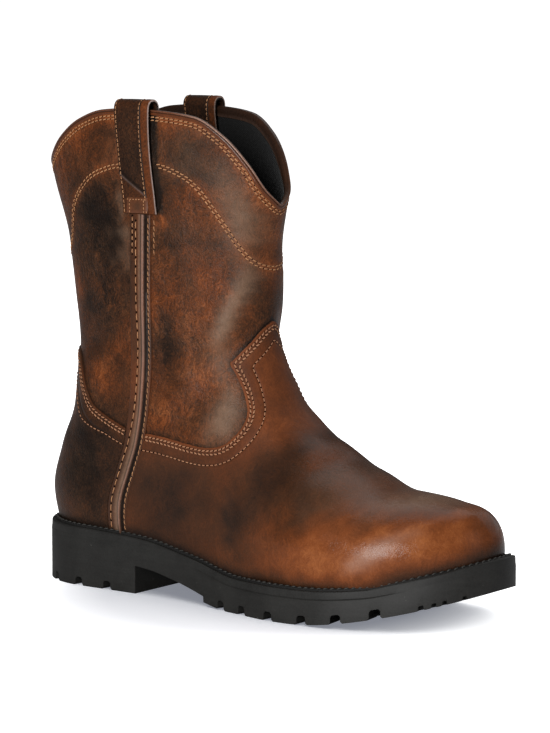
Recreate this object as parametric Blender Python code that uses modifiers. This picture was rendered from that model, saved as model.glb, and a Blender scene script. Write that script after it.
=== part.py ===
"""Pull-on work boot for a right foot: lugged outsole, welt, insole and a hollow upper with its overlays.

Lengths are metres. While the form is worked out x runs from the heel's back to the toe, y from the
outer side (minus) to the inner side (plus) and z up from the floor; ORIGIN then moves the whole boot so
that the origin lies on the floor under the middle of its box.
"""
import math

import bpy
import numpy as np

# Driving sizes
SOLE_LENGTH = 0.310
HEEL_LENGTH = 0.0858
TOE_SPRING = 0.0215
SPRING_START = 0.206
COLLAR_TOP = 0.2800
TOE_INSET = 0.006
WALL = 0.0022
GAP = 0.0003
OVERLAY = 0.0010
ORIGIN = (0.15347, -0.00028)

# How far the upper's face lies inside the outer form; overlays fill the rest and stand a little proud
UPPER_SINK = 0.0007
OVERLAY_FOOT = UPPER_SINK - GAP

# The foot is bent about a pivot in front of the throat, so sections turn from upright to level
PIVOT_X = 0.192
PIVOT_Z = 0.168
BEND_RADIUS = 0.10
TOE_START = 0.229
TOE_POWER = 2.2

AROUND = 48
RINGS = 21
SOLE_POINTS = 64


def table(names, rows):
    """Short table: a dictionary of columns."""
    values = np.array(rows, dtype=float)
    return {name: values[:, i] for i, name in enumerate(names.split())}


# Sections across the foot, from toe to throat
FOOT = table("x ridge core lateral medial axis fullness", [
    (0.304, 0.0890, 0.0380, 0.0500, 0.0455, 0.010, 2.24),
    (0.275, 0.0738, 0.0390, 0.0510, 0.0440, 0.007, 2.10),
    (0.245, 0.0713, 0.0390, 0.0520, 0.0470, 0.004, 1.98),
    (0.218, 0.0819, 0.0410, 0.0530, 0.0475, 0.002, 2.00),
    (0.192, 0.0977, 0.042, 0.0505, 0.0440, 0.001, 1.9)])
# Sections through the ankle, turned about the pivot
ANKLE = table("angle front core lateral medial axis fullness", [
    (30, 0.0493, 0.122, 0.0410, 0.0375, 0.001, 2.0),
    (60, 0.0391, 0.118, 0.0370, 0.0360, 0.000, 2.1)])
# Level sections up the shaft
SHAFT = table("z front core lateral medial axis fullness", [
    (0.168, 0.1586, 0.080, 0.0375, 0.0375, 0.0, 2.2),
    (0.200, 0.1586, 0.078, 0.0370, 0.0370, 0.0, 2.1),
    (0.240, 0.1655, 0.074, 0.0360, 0.0360, 0.0, 2.0),
    (0.285, 0.1698, 0.070, 0.0335, 0.0335, 0.0, 2.0)])
# Back line from the heel seat to the collar
BACK = table("z x centre power", [
    (0.030, 0.0052, 0.050, 2.1),
    (0.055, 0.0014, 0.050, 2.1),
    (0.080, 0.0088, 0.052, 2.1),
    (0.110, 0.0199, 0.060, 2.1),
    (0.140, 0.0219, 0.070, 2.1),
    (0.170, 0.0174, 0.076, 2.1),
    (0.205, 0.0106, 0.076, 2.1),
    (0.245, -0.0035, 0.072, 2.0),
    (0.285, -0.0084, 0.068, 2.0)])
# Line where the upper meets the sole, the rim's height above it and how far the upper tucks in there
FEATHER = table("x height rim tuck", [
    (0.000, 0.0345, 0.0009, 0.09),
    (0.050, 0.0337, 0.0009, 0.10),
    (0.090, 0.0315, 0.0009, 0.12),
    (0.130, 0.0250, 0.0009, 0.10),
    (0.170, 0.0185, 0.0009, 0.06),
    (0.210, 0.0185, 0.0010, 0.05),
    (0.250, 0.0210, 0.0014, 0.05),
    (0.285, 0.0290, 0.0022, 0.05),
    (0.310, 0.0360, 0.0030, 0.05)])
# Drop of the collar below its top, by the angle round from back to front
COLLAR = table("angle drop", [
    (0, 0.0392), (17, 0.0347), (30, 0.0280), (45, 0.0170), (60, 0.0070), (75, 0.0012), (90, 0.0),
    (105, 0.0010), (120, 0.0036), (135, 0.0138), (150, 0.0290), (165, 0.0450), (180, 0.0536)])
# Half widths of the outsole
SOLE = table("x lateral medial axis", [
    (0.000, 0.0393, 0.0393, 0.0),
    (0.045, 0.0393, 0.0393, 0.0),
    (0.085, 0.0390, 0.0388, 0.0),
    (0.125, 0.0420, 0.0408, 0.0),
    (0.165, 0.0495, 0.0452, 0.0),
    (0.200, 0.0560, 0.0490, 0.001),
    (0.225, 0.0560, 0.0510, 0.002),
    (0.260, 0.0541, 0.0505, 0.0067),
    (0.310, 0.0533, 0.0510, 0.0111)])
HEEL_ROUND = (0.045, 2.1)
SOLE_TOE_ROUND = (0.225, 2.35)
# Underside of the arch between the heel's breast and the forefoot
ARCH = table("x z", [
    (0.0858, 0.0165), (0.100, 0.0150), (0.118, 0.0115), (0.130, 0.0085), (0.1405, 0.0058),
    (0.1407, 0.0024), (0.149, 0.0010), (0.158, 0.0)])
# Fade of the ledge on the sole's side
LEDGE = table("x depth", [
    (0.00, 0.0002), (0.12, 0.0003), (0.15, 0.0009), (0.25, 0.0009), (0.29, 0.0002), (0.31, 0.0002)])
# Open notches between the lugs round the edge: place along the sole, width, height, reach inward
NOTCH = table("x width height reach", [
    (0.0220, 0.0040, 0.0050, 0.013),
    (0.0437, 0.0048, 0.0050, 0.013),
    (0.0655, 0.0050, 0.0050, 0.013),
    (0.1565, 0.0046, 0.0052, 0.0180),
    (0.1739, 0.0048, 0.0052, 0.0180),
    (0.1954, 0.0052, 0.0052, 0.0180),
    (0.2175, 0.0054, 0.0052, 0.0180),
    (0.2397, 0.0056, 0.0052, 0.0180),
    (0.2610, 0.0064, 0.0055, 0.0180),
    (0.2835, 0.0024, 0.0028, 0.009),
    (0.2890, 0.0020, 0.0025, 0.009),
    (0.2940, 0.0020, 0.0025, 0.009),
    (0.3010, 0.0018, 0.0022, 0.008)])
# Grooves across the middle of the forefoot
CROSS = table("x width height", [
    (0.1660, 0.0045, 0.0040), (0.1970, 0.0045, 0.0040), (0.2280, 0.0045, 0.0040), (0.2590, 0.0045, 0.0040)])
CHANNEL_INSET = 0.0165
CHANNEL_WIDTH = 0.0045
CHANNEL_DEPTH = 0.0040
# Side seam, seen from the side
SEAM = table("z x", [
    (0.030, 0.0722), (0.039, 0.0730), (0.054, 0.0749), (0.072, 0.0809), (0.090, 0.0869),
    (0.114, 0.0907), (0.146, 0.0924), (0.172, 0.0920), (0.216, 0.0915)])
SEAM_TOP = 0.2217
SEAM_REAR = 0.0100
SEAM_FRONT = 0.0045
# Seam strip across: place from the bead, height above the strip's foot
SEAM_PROFILE = table("place height", [
    (-0.0100, 0.0008), (-0.0022, 0.0010), (-0.0014, 0.0020), (0.0, 0.0025), (0.0013, 0.0020),
    (0.0020, 0.0010), (0.0045, 0.0008)])
# Upper edge of the vamp from the side seam to its point on the shaft's front
VAMP = table("x z", [
    (0.0928, 0.0947), (0.1022, 0.0940), (0.1146, 0.0925), (0.1267, 0.0907), (0.1349, 0.0901),
    (0.1417, 0.0905), (0.1481, 0.0924), (0.1523, 0.0954), (0.1555, 0.0993), (0.1578, 0.1035),
    (0.1586, 0.1081), (0.1578, 0.1126), (0.1559, 0.1171), (0.1534, 0.1225), (0.1502, 0.1280),
    (0.1469, 0.1335), (0.1441, 0.1379), (0.1461, 0.1406), (0.1494, 0.1453), (0.1530, 0.1508),
    (0.1560, 0.1566), (0.1578, 0.1600), (0.1590, 0.1625)])
# Upper edge of the counter from the side seam to the back
COUNTER = table("x z", [
    (0.0860, 0.0945), (0.0806, 0.0957), (0.0759, 0.0971), (0.0700, 0.0994), (0.0630, 0.1025),
    (0.0570, 0.1056), (0.0521, 0.1089), (0.0487, 0.1131), (0.0456, 0.1187), (0.0424, 0.1243),
    (0.0378, 0.1305), (0.0330, 0.1362), (0.0280, 0.1387), (0.0200, 0.1399), (0.0000, 0.1405)])
# Pull strap from its foot outside, over the collar, to its foot inside: height, place outward from the
# middle of the wall, centre along the boot, half width
STRAP = table("z out x half", [
    (0.2222, 0.0024, 0.0889, 0.0115), (0.2300, 0.0025, 0.0880, 0.0113), (0.2420, 0.0029, 0.0863, 0.0113),
    (0.2560, 0.0034, 0.0844, 0.0114), (0.2700, 0.0040, 0.0829, 0.0118), (0.2790, 0.0044, 0.0824, 0.0121),
    (0.2828, 0.0042, 0.0823, 0.0122), (0.2852, 0.0030, 0.0823, 0.0122), (0.2862, 0.0010, 0.0823, 0.0122),
    (0.2862, -0.0010, 0.0823, 0.0122), (0.2852, -0.0030, 0.0823, 0.0122), (0.2828, -0.0042, 0.0823, 0.0122),
    (0.2780, -0.0044, 0.0825, 0.0120), (0.2680, -0.0038, 0.0831, 0.0117), (0.2560, -0.0030, 0.0844, 0.0114),
    (0.2440, -0.0025, 0.0860, 0.0113), (0.2360, -0.0024, 0.0871, 0.0113)])
STRAP_THICK = 0.0020
BINDING_WIDE = 0.0034
BINDING_HIGH = 0.0022
INSOLE_THICK = 0.0040


def curve(xs, ys):
    """Smooth curve through the points that does not overshoot them."""
    order = np.argsort(xs)
    xs = np.asarray(xs, float)[order]
    ys = np.asarray(ys, float)[order]
    step = np.diff(xs)
    rise = np.diff(ys) / step
    slope = np.zeros_like(ys)
    slope[0] = rise[0]
    slope[-1] = rise[-1]
    for i in range(1, len(xs) - 1):
        if rise[i - 1] * rise[i] > 0:
            a = 2 * step[i] + step[i - 1]
            b = step[i] + 2 * step[i - 1]
            slope[i] = (a + b) / (a / rise[i - 1] + b / rise[i])

    def at(x):
        x = np.clip(np.asarray(x, float), xs[0], xs[-1])
        k = np.clip(np.searchsorted(xs, x) - 1, 0, len(xs) - 2)
        h = step[k]
        t = (x - xs[k]) / h
        left = (1 + 2 * t) * (1 - t) ** 2 * ys[k] + t * (1 - t) ** 2 * h * slope[k]
        return left + t * t * (3 - 2 * t) * ys[k + 1] + t * t * (t - 1) * h * slope[k + 1]
    return at


def by(rows, key, name):
    return curve(rows[key], rows[name])


TIP = SOLE_LENGTH - TOE_INSET
QUARTER = BEND_RADIUS * math.pi / 2


def bent(foot, ankle, shaft):
    """One column of the three section tables as a curve along the bend."""
    along = np.concatenate([PIVOT_X - FOOT["x"], BEND_RADIUS * np.radians(ANKLE["angle"]),
                            QUARTER + SHAFT["z"] - PIVOT_Z])
    return curve(along, np.concatenate([foot, ankle, shaft]))


front_radius = bent(PIVOT_Z - FOOT["ridge"], ANKLE["front"], PIVOT_X - SHAFT["front"])
core_radius = bent(PIVOT_Z - FOOT["core"], ANKLE["core"], PIVOT_X - SHAFT["core"])
lateral_half = bent(FOOT["lateral"], ANKLE["lateral"], SHAFT["lateral"])
medial_half = bent(FOOT["medial"], ANKLE["medial"], SHAFT["medial"])
section_axis = bent(FOOT["axis"], ANKLE["axis"], SHAFT["axis"])
section_full = bent(FOOT["fullness"], ANKLE["fullness"], SHAFT["fullness"])
back_x = by(BACK, "z", "x")
back_centre = by(BACK, "z", "centre")
back_power = by(BACK, "z", "power")
feather = by(FEATHER, "x", "height")
rim_rise = by(FEATHER, "x", "rim")
tuck = by(FEATHER, "x", "tuck")
collar_drop = by(COLLAR, "angle", "drop")
seam_x = by(SEAM, "z", "x")
ledge_depth = by(LEDGE, "x", "depth")


def collar_z(angle):
    return COLLAR_TOP - collar_drop(np.degrees(angle))


def bend(x, z):
    """Distance along the bend and out from the pivot of a point in the side view."""
    ahead = PIVOT_X - x
    below = PIVOT_Z - z
    turn = np.arctan2(np.maximum(ahead, 0), np.maximum(below, 1e-9))
    along = np.where(ahead <= 0, ahead, np.where(below <= 0, QUARTER - below, BEND_RADIUS * turn))
    out = np.where(ahead <= 0, below, np.where(below <= 0, ahead, np.hypot(ahead, below)))
    return along, out


def side_y(x, z, side):
    """Outer face of the form in the side view; side is -1 for lateral and 1 for medial."""
    along, out = bend(x, z)
    core = core_radius(along)
    front = np.clip((core - out) / (core - front_radius(along)), 0, None)
    centre = back_centre(z)
    back = np.clip((centre - x) / (centre - back_x(z)), 0, None)
    toe = np.clip((x - TOE_START) / (TIP - TOE_START), 0, None)
    full = 1 - front ** section_full(along) - back ** back_power(z) - toe ** TOE_POWER
    low = np.clip(1 - (z - feather(x)) / 0.022, 0, 1)
    half = (lateral_half(along) if side < 0 else medial_half(along)) * (1 - tuck(x) * low ** 2)
    return section_axis(along) + side * half * np.sqrt(np.clip(full, 0, None))


def front_line(count):
    """Middle line of the form's front from the toe's foot over the instep to the collar."""
    x = TIP - (TIP - PIVOT_X) * (1 - np.cos(np.linspace(0, math.pi / 2, count)))
    along = PIVOT_X - x
    toe = np.clip((x - TOE_START) / (TIP - TOE_START), 0, 1)
    core = core_radius(along)
    rise = (1 - toe ** TOE_POWER) ** (1 / section_full(along))
    foot = np.stack([x, PIVOT_Z - core + rise * (core - front_radius(along))], 1)
    turn = np.linspace(0, math.pi / 2, count // 2)[1:]
    radius = front_radius(BEND_RADIUS * turn)
    throat = np.stack([PIVOT_X - radius * np.sin(turn), PIVOT_Z - radius * np.cos(turn)], 1)
    z = np.linspace(PIVOT_Z, float(collar_z(math.pi)), count // 2)[1:]
    shaft = np.stack([PIVOT_X - front_radius(QUARTER + z - PIVOT_Z), z], 1)
    return np.vstack([[(TIP, float(feather(TIP)))], foot, throat, shaft])


def form_rings(count, around):
    """Closed rings of the outer form from the feather line to the collar."""
    line = front_line(200)
    length = np.concatenate([[0], np.cumsum(np.hypot(*np.diff(line, axis=0).T))])
    throat = np.argmin(np.abs(line[:, 1] - 0.150) + (line[:, 0] > PIVOT_X))
    low = float(feather(0.01))
    high = float(collar_z(0.0))
    front_share = curve([0, 0.05, 0.1, 0.15, 0.2, 0.25, 0.3, 0.6, 1],
                        [0, 0.018, 0.042, 0.070, 0.100, 0.133, 0.258, length[throat] / length[-1], 1])
    back_share = curve([0, 0.25, 0.4, 0.6, 1], [0, 0.08, 0.25, (0.150 - low) / (high - low), 1])
    angle = np.linspace(0, math.pi, around // 2 + 1)
    share = (1 - np.cos(angle)) / 2
    rings = []
    for t in np.linspace(0, 1, count):
        reach = front_share(t) * length[-1]
        front = np.interp(reach, length, line[:, 0]), np.interp(reach, length, line[:, 1])
        back_z = low + (high - low) * back_share(t)
        start = float(back_x(back_z))
        x = start + (front[0] - start) * share
        z = back_z + (front[1] - back_z) * share
        seat = max(0, 1 - t / 0.35) ** 2
        z = z + seat * (feather(x) - feather(start) - (feather(TIP) - feather(start)) * share)
        lip = max(0, (t - 0.5) / 0.5) ** 2
        z = z + lip * (collar_z(angle) - high - (collar_z(math.pi) - high) * share)
        lateral = np.stack([x, side_y(x, z, -1), z], 1)
        medial = np.stack([x, side_y(x, z, 1), z], 1)
        lateral[[0, -1], 1] = section_axis(bend(x, z)[0])[[0, -1]]
        rings.append(np.vstack([lateral, medial[-2:0:-1]]))
    return np.array(rings)


def grid_normals(grid):
    """Outward directions at the points of a closed grid of rings."""
    round_it = np.roll(grid, -1, 1) - np.roll(grid, 1, 1)
    up = np.gradient(grid, axis=0)
    normal = np.cross(round_it, up)
    normal[0, :, 2] = 0
    return normal / np.linalg.norm(normal, axis=2, keepdims=True)


def outline(count=SOLE_POINTS, inset=0.0):
    """Plan outline of the outsole, moved inward along its own normals."""
    x = SOLE_LENGTH * (1 - np.cos(np.linspace(0, math.pi, count // 2 + 1))) / 2
    heel = np.clip((HEEL_ROUND[0] - x) / HEEL_ROUND[0], 0, 1)
    toe = np.clip((x - SOLE_TOE_ROUND[0]) / (SOLE_LENGTH - SOLE_TOE_ROUND[0]), 0, 1)
    full = np.sqrt(np.clip(1 - heel ** HEEL_ROUND[1] - toe ** SOLE_TOE_ROUND[1], 0, None))
    axis = by(SOLE, "x", "axis")(x)
    lateral = np.stack([x, axis - by(SOLE, "x", "lateral")(x) * full], 1)
    medial = np.stack([x, axis + by(SOLE, "x", "medial")(x) * full], 1)
    points = np.vstack([lateral, medial[-2:0:-1]])
    return points - inset * plan_normals(points)


def plan_normals(points):
    way = np.roll(points, -1, 0) - np.roll(points, 1, 0)
    normal = np.stack([way[:, 1], -way[:, 0]], 1)
    return normal / np.linalg.norm(normal, axis=1, keepdims=True)


def seated(inset, drop):
    """Loop inside the sole's outline at a depth below the feather line."""
    plan = outline(SOLE_POINTS, inset)
    return np.column_stack([plan, feather(plan[:, 0]) - drop])


def under(x):
    """Height of the sole's underside, lugs apart."""
    arch = np.interp(x, ARCH["x"], ARCH["z"], left=0, right=0)
    rise = np.clip((x - SPRING_START) / (SOLE_LENGTH - SPRING_START), 0, None)
    return arch + TOE_SPRING * rise ** 1.7


def ring_faces(levels, around, wrap=False):
    """Quads between closed loops stacked one after another."""
    faces = []
    for i in range(levels if wrap else levels - 1):
        a = i * around
        b = (i + 1) % levels * around
        for j in range(around):
            k = (j + 1) % around
            faces.append((a + j, a + k, b + k, b + j))
    return faces


def skin_faces(levels, around):
    """The same with every quad split one way, so skins laid over each other keep their distance."""
    quads = ring_faces(levels, around)
    return [t for a, b, c, d in quads for t in ((a, b, c), (a, c, d))]


def cap_faces(start, around, upward):
    """Strips of quads across a loop whose two halves mirror each other."""
    faces = []
    for j in range(around // 2):
        a, b = start + j, start + j + 1
        c, d = start + around - 1 - j, start + (around - j) % around
        face = [a, b, c, d]
        face = [p for i, p in enumerate(face) if p not in face[:i]]
        faces.append(tuple(face if upward else reversed(face)))
    return faces


def solid(name, points, faces, home, material=None):
    """Mesh object from points and faces, moved to the part's own frame."""
    shift = np.array([ORIGIN[0], ORIGIN[1], 0.0])
    mesh = bpy.data.meshes.new(name)
    mesh.from_pydata((np.asarray(points) - shift).tolist(), [], faces)
    mesh.validate()
    mesh.update()
    thing = bpy.data.objects.new(name, mesh)
    home.objects.link(thing)
    if material:
        mesh.materials.append(material)
    return thing


def paint(name, colour, rough):
    material = bpy.data.materials.new(name)
    material.use_nodes = True
    shader = material.node_tree.nodes["Principled BSDF"]
    shader.inputs["Base Color"].default_value = (*colour, 1.0)
    shader.inputs["Roughness"].default_value = rough
    return material


def boolean(thing, other, how):
    step = thing.modifiers.new(how.title(), "BOOLEAN")
    step.operation = how
    step.solver = "EXACT"
    step.object = other


def cutter(thing):
    thing.hide_render = True
    thing.display_type = "WIRE"
    return thing


def side_prism(name, points, home, half=0.09):
    """Outline in the side view pushed through across the boot."""
    points = np.asarray(points)
    after = np.roll(points, -1, 0)
    if np.sum(points[:, 0] * after[:, 1] - points[:, 1] * after[:, 0]) > 0:
        points = points[::-1]
    count = len(points)
    near = np.stack([points[:, 0], np.full(count, -half), points[:, 1]], 1)
    far = near * (1, -1, 1)
    faces = ring_faces(2, count) + [tuple(reversed(range(count))), tuple(range(count, 2 * count))]
    thing = solid(name, np.vstack([near, far]), faces, home)
    return cutter(thing)


def blocks(name, pieces, home):
    """Several separate hexahedra in one cutter; each is four floor points, a foot and four heads."""
    points = []
    faces = []
    for plan, foot, heads in pieces:
        base = len(points)
        points += [(x, y, foot) for x, y in plan]
        points += [(x, y, head) for (x, y), head in zip(plan, heads)]
        faces += [(base + 3, base + 2, base + 1, base), (base + 4, base + 5, base + 6, base + 7)]
        faces += [(base + i, base + (i + 1) % 4, base + (i + 1) % 4 + 4, base + i + 4) for i in range(4)]
    return cutter(solid(name, points, faces, home))


def build_outsole(home, tools, material):
    plan = outline()
    x = plan[:, 0]
    rim = feather(x) + rim_rise(x)
    ledge = ledge_depth(x)
    side = [(0.0, 0 * x), (0.0, rim - 0.0050), (ledge, rim - 0.0044), (ledge + 0.0002, rim - 0.0007),
            (0.0012, rim), (0.0024, rim)]
    normal = plan_normals(plan)
    loops = [np.column_stack([plan - np.reshape(inset, (-1, 1)) * normal, z]) for inset, z in side]
    loops += [seated(inset, drop) for inset, drop in ((0.0027, 0.0018), (0.0103, 0.0018), (0.0106, GAP))]
    count = len(plan)
    faces = ring_faces(len(loops), count) + cap_faces(0, count, False)
    faces += cap_faces((len(loops) - 1) * count, count, True)
    sole = solid("outsole", np.vstack(loops), faces, home, material)

    arch = [(HEEL_LENGTH, -0.01)] + list(zip(ARCH["x"], ARCH["z"])) + [(ARCH["x"][-1], -0.01)]
    boolean(sole, side_prism("arch cutter", arch, tools), "DIFFERENCE")
    run = np.linspace(SPRING_START + 0.004, SOLE_LENGTH + 0.006, 12)
    toe = [(SPRING_START, -0.01), (SPRING_START, -0.0002)] + list(zip(run, under(run))) + [(run[-1], -0.01)]
    boolean(sole, side_prism("toe spring cutter", toe, tools), "DIFFERENCE")

    fine = outline(720)
    fine_normal = plan_normals(fine)
    pieces = []
    for side in (-1, 1):
        half = slice(0, 361) if side < 0 else slice(361, 720)
        for place, width, height, reach in zip(*NOTCH.values()):
            k = np.argmin(np.abs(fine[half, 0] - place))
            spot, out = fine[half][k], fine_normal[half][k]
            way = np.array([-out[1], out[0]]) * width / 2
            inner, outer = spot - reach * out, spot + 0.006 * out
            corners = [inner - way, outer - way, outer + way, inner + way]
            pieces.append((corners, -0.01, [float(under(c[0])) + height for c in corners]))
    groove_y = -0.004
    corners = [(0.020, groove_y - 0.0027), (0.095, groove_y - 0.0027), (0.095, groove_y + 0.0027),
               (0.020, groove_y + 0.0027)]
    pieces.append((corners, -0.01, [0.0045] * 4))
    for place, width, height in zip(*CROSS.values()):
        clear = fine - (CHANNEL_INSET + 0.003) * fine_normal
        inner = [curve(*half_outline(clear, side).T)(place) for side in (-1, 1)]
        corners = [(place - width / 2, inner[0]), (place + width / 2, inner[0]),
                   (place + width / 2, inner[1]), (place - width / 2, inner[1])]
        pieces.append((corners, -0.01, [float(under(place)) + height] * 4))
    boolean(sole, blocks("notch cutter", pieces, tools), "DIFFERENCE")

    keep = plan_points_ahead(0.150)
    outer = outline(SOLE_POINTS, CHANNEL_INSET)[keep]
    inner = outline(SOLE_POINTS, CHANNEL_INSET + CHANNEL_WIDTH)[keep]
    count = len(keep)
    head_out = under(outer[:, 0]) + CHANNEL_DEPTH
    head_in = under(inner[:, 0]) + CHANNEL_DEPTH
    foot = np.full(count, -0.01)
    rows = [np.column_stack([outer, foot]), np.column_stack([outer, head_out]),
            np.column_stack([inner, head_in]), np.column_stack([inner, foot])]
    points = np.stack(rows, 1).reshape(-1, 3)
    faces = [tuple(reversed(f)) for f in ring_faces(count, 4)]
    faces += [(0, 1, 2, 3), tuple(reversed(range(4 * count - 4, 4 * count)))]
    boolean(sole, cutter(solid("channel cutter", points, faces, tools)), "DIFFERENCE")
    return sole


def half_outline(points, side):
    """Lateral or medial half of an outline, sorted along the boot and kept clear of its ends."""
    count = len(points)
    half = points[: count // 2 + 1] if side < 0 else points[count // 2:][::-1]
    inside = half[(half[:, 0] > 0.05) & (half[:, 0] < 0.285)]
    return inside[np.argsort(inside[:, 0])]


def plan_points_ahead(start):
    """Indices of the outline's points ahead of a place, from lateral round the toe to medial."""
    x = outline()[:, 0]
    return np.arange(SOLE_POINTS)[x > start]


def build_welt(home, material):
    levels = ((0.0030, 0.0015), (0.0031, GAP), (0.0100, GAP), (0.0100, 0.0015))
    loops = [seated(inset, drop) for inset, drop in levels]
    return solid("welt", np.vstack(loops), ring_faces(4, SOLE_POINTS, True), home, material)


def build_insole(home, rings, material):
    edge = rings[0, :, :2]
    normal = plan_normals(edge)
    inset = UPPER_SINK + WALL + 0.0004
    low = edge - inset * normal
    lip = edge - (inset + 0.0006) * normal
    loops = [np.column_stack([low, feather(low[:, 0]) + GAP]),
             np.column_stack([low, feather(low[:, 0]) + INSOLE_THICK - 0.0006]),
             np.column_stack([lip, feather(lip[:, 0]) + INSOLE_THICK])]
    count = len(edge)
    faces = ring_faces(3, count) + cap_faces(0, count, False) + cap_faces(2 * count, count, True)
    return solid("insole", np.vstack(loops), faces, home, material)


def build_upper(home, rings, normals, material):
    outer = rings - UPPER_SINK * normals
    thing = solid("upper", outer.reshape(-1, 3), skin_faces(*rings.shape[:2]), home, material)
    shell = thing.modifiers.new("Wall", "SOLIDIFY")
    shell.thickness = WALL
    shell.offset = -1
    shell.use_rim = True
    return thing


def overlay_form(name, rings, normals, home, material):
    """Thin closed form over the whole upper, to be cut to a panel's outline."""
    inner = rings - OVERLAY_FOOT * normals
    outer = inner + OVERLAY * normals
    points = np.vstack([inner.reshape(-1, 3), outer.reshape(-1, 3)])
    levels, around = rings.shape[:2]
    size = levels * around
    faces = [tuple(reversed(f)) for f in skin_faces(levels, around)]
    faces += [tuple(size + p for p in f) for f in skin_faces(levels, around)]
    for j in range(around):
        k = (j + 1) % around
        faces.append((j, k, size + k, size + j))
        top = size - around
        faces.append((top + k, top + j, size + top + j, size + top + k))
    return solid(name, points, faces, home, material)


def edge_run(rows, step=3):
    """Points of a panel's edge, rounded through its table."""
    length = np.concatenate([[0], np.cumsum(np.hypot(np.diff(rows["x"]), np.diff(rows["z"])))])
    fine = np.concatenate([np.linspace(a, b, step, endpoint=False) for a, b in zip(length[:-1], length[1:])]
                          + [length[-1:]])
    return list(zip(curve(length, rows["x"])(fine), curve(length, rows["z"])(fine)))


def build_panels(home, tools, rings, normals, leather):
    low = np.linspace(0.0935, 0.005, 13)
    front = edge_run(VAMP)
    rise = [(x, z) for z in low for x in [float(seam_x(z)) + SEAM_FRONT + GAP]]
    vamp_edge = front + [(0.20, 0.1640), (0.33, 0.1640), (0.33, 0.005)] + rise[::-1]
    vamp = overlay_form("vamp", rings, normals, home, leather["vamp"])
    boolean(vamp, side_prism("vamp cutter", vamp_edge, tools), "INTERSECT")
    rear = edge_run(COUNTER)
    limit = [(float(seam_x(z)) - SEAM_REAR - GAP, z) for z in np.linspace(0.0966, 0.005, 13)]
    rear = [p for p in rear if p[0] < limit[0][0] - 0.001]
    counter_edge = [limit[0]] + rear + [(-0.03, 0.1405), (-0.03, 0.005)] + limit[:0:-1]
    counter = overlay_form("counter", rings, normals, home, leather["counter"])
    boolean(counter, side_prism("counter cutter", counter_edge, tools), "INTERSECT")


def build_seam(name, side, home, material):
    """Raised strip with its bead down one side, swept along the seam."""
    heights = np.linspace(0.0, 1.0, 18)
    rows = []
    for share in heights:
        foot = float(feather(seam_x(0.035))) + GAP
        z = foot + (SEAM_TOP - foot) * share
        x = seam_x(z) + SEAM_PROFILE["place"]
        z_row = np.where(share == 0, np.maximum(z, feather(x) + GAP), z) + 0 * x
        y = side_y(x, z_row, side)
        below = y - side * OVERLAY_FOOT
        above = below + side * SEAM_PROFILE["height"]
        top = np.stack([x, above, z_row], 1)
        bottom = np.stack([x, below, z_row], 1)[::-1]
        rows.append(np.vstack([top, bottom]))
    points = np.vstack(rows)
    around = rows[0].shape[0]
    faces = ring_faces(len(rows), around)
    half = around // 2
    for start, flip in ((0, True), (points.shape[0] - around, False)):
        for i in range(half - 1):
            face = (start + i, start + i + 1, start + around - 2 - i, start + around - 1 - i)
            faces.append(tuple(reversed(face)) if flip else face)
    if side > 0:
        faces = [tuple(reversed(f)) for f in faces]
    return solid(name, points, faces, home, material)


def build_strap(name, side, home, material):
    """Flat band from the outside of the shaft over the collar to the inside."""
    across = np.linspace(-1, 1, 5)
    stations = list(zip(*STRAP.values()))
    path = np.array([(out, z) for z, out, _, _ in stations])
    way = np.gradient(path, axis=0)
    way /= np.linalg.norm(way, axis=1, keepdims=True)
    lean = np.stack([way[:, 1], -way[:, 0]], 1)
    rows = []
    for (z, out, centre, half), (lean_out, lean_z) in zip(stations, lean):
        x = centre + half * across
        wall = np.abs(side_y(x, np.full_like(x, min(z, COLLAR_TOP)), side)) - UPPER_SINK - WALL / 2
        faces_at = []
        for move in (STRAP_THICK / 2, -STRAP_THICK / 2):
            y = side * (wall + out + move * lean_out)
            faces_at.append(np.stack([x, y, np.full_like(x, z + move * lean_z)], 1))
        rows.append(np.vstack([faces_at[0], faces_at[1][::-1]]))
    points = np.vstack(rows)
    around = rows[0].shape[0]
    faces = ring_faces(len(rows), around)
    half = around // 2
    for start, flip in ((0, True), (points.shape[0] - around, False)):
        for i in range(half - 1):
            face = (start + i, start + i + 1, start + around - 2 - i, start + around - 1 - i)
            faces.append(tuple(reversed(face)) if flip else face)
    if side > 0:
        faces = [tuple(reversed(f)) for f in faces]
    return solid(name, points, faces, home, material)


def build_binding(home, rings, normals, material):
    """Rounded tape along the collar's edge."""
    edge = rings[-1] - (UPPER_SINK + WALL / 2) * normals[-1]
    way = np.roll(edge, -1, 0) - np.roll(edge, 1, 0)
    way /= np.linalg.norm(way, axis=1, keepdims=True)
    up = np.cross(normals[-1], way)
    up /= np.linalg.norm(up, axis=1, keepdims=True)
    loops = []
    for turn in np.arange(8) * math.pi / 4 + math.pi / 8:
        wide = 0.5 * BINDING_WIDE / math.cos(math.pi / 8) * math.cos(turn)
        high = 0.5 * BINDING_HIGH / math.cos(math.pi / 8) * math.sin(turn)
        loops.append(edge + wide * normals[-1] + (GAP + BINDING_HIGH / 2 + high) * up)
    return solid("topline_binding", np.vstack(loops), ring_faces(8, len(edge), True), home, material)


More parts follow.
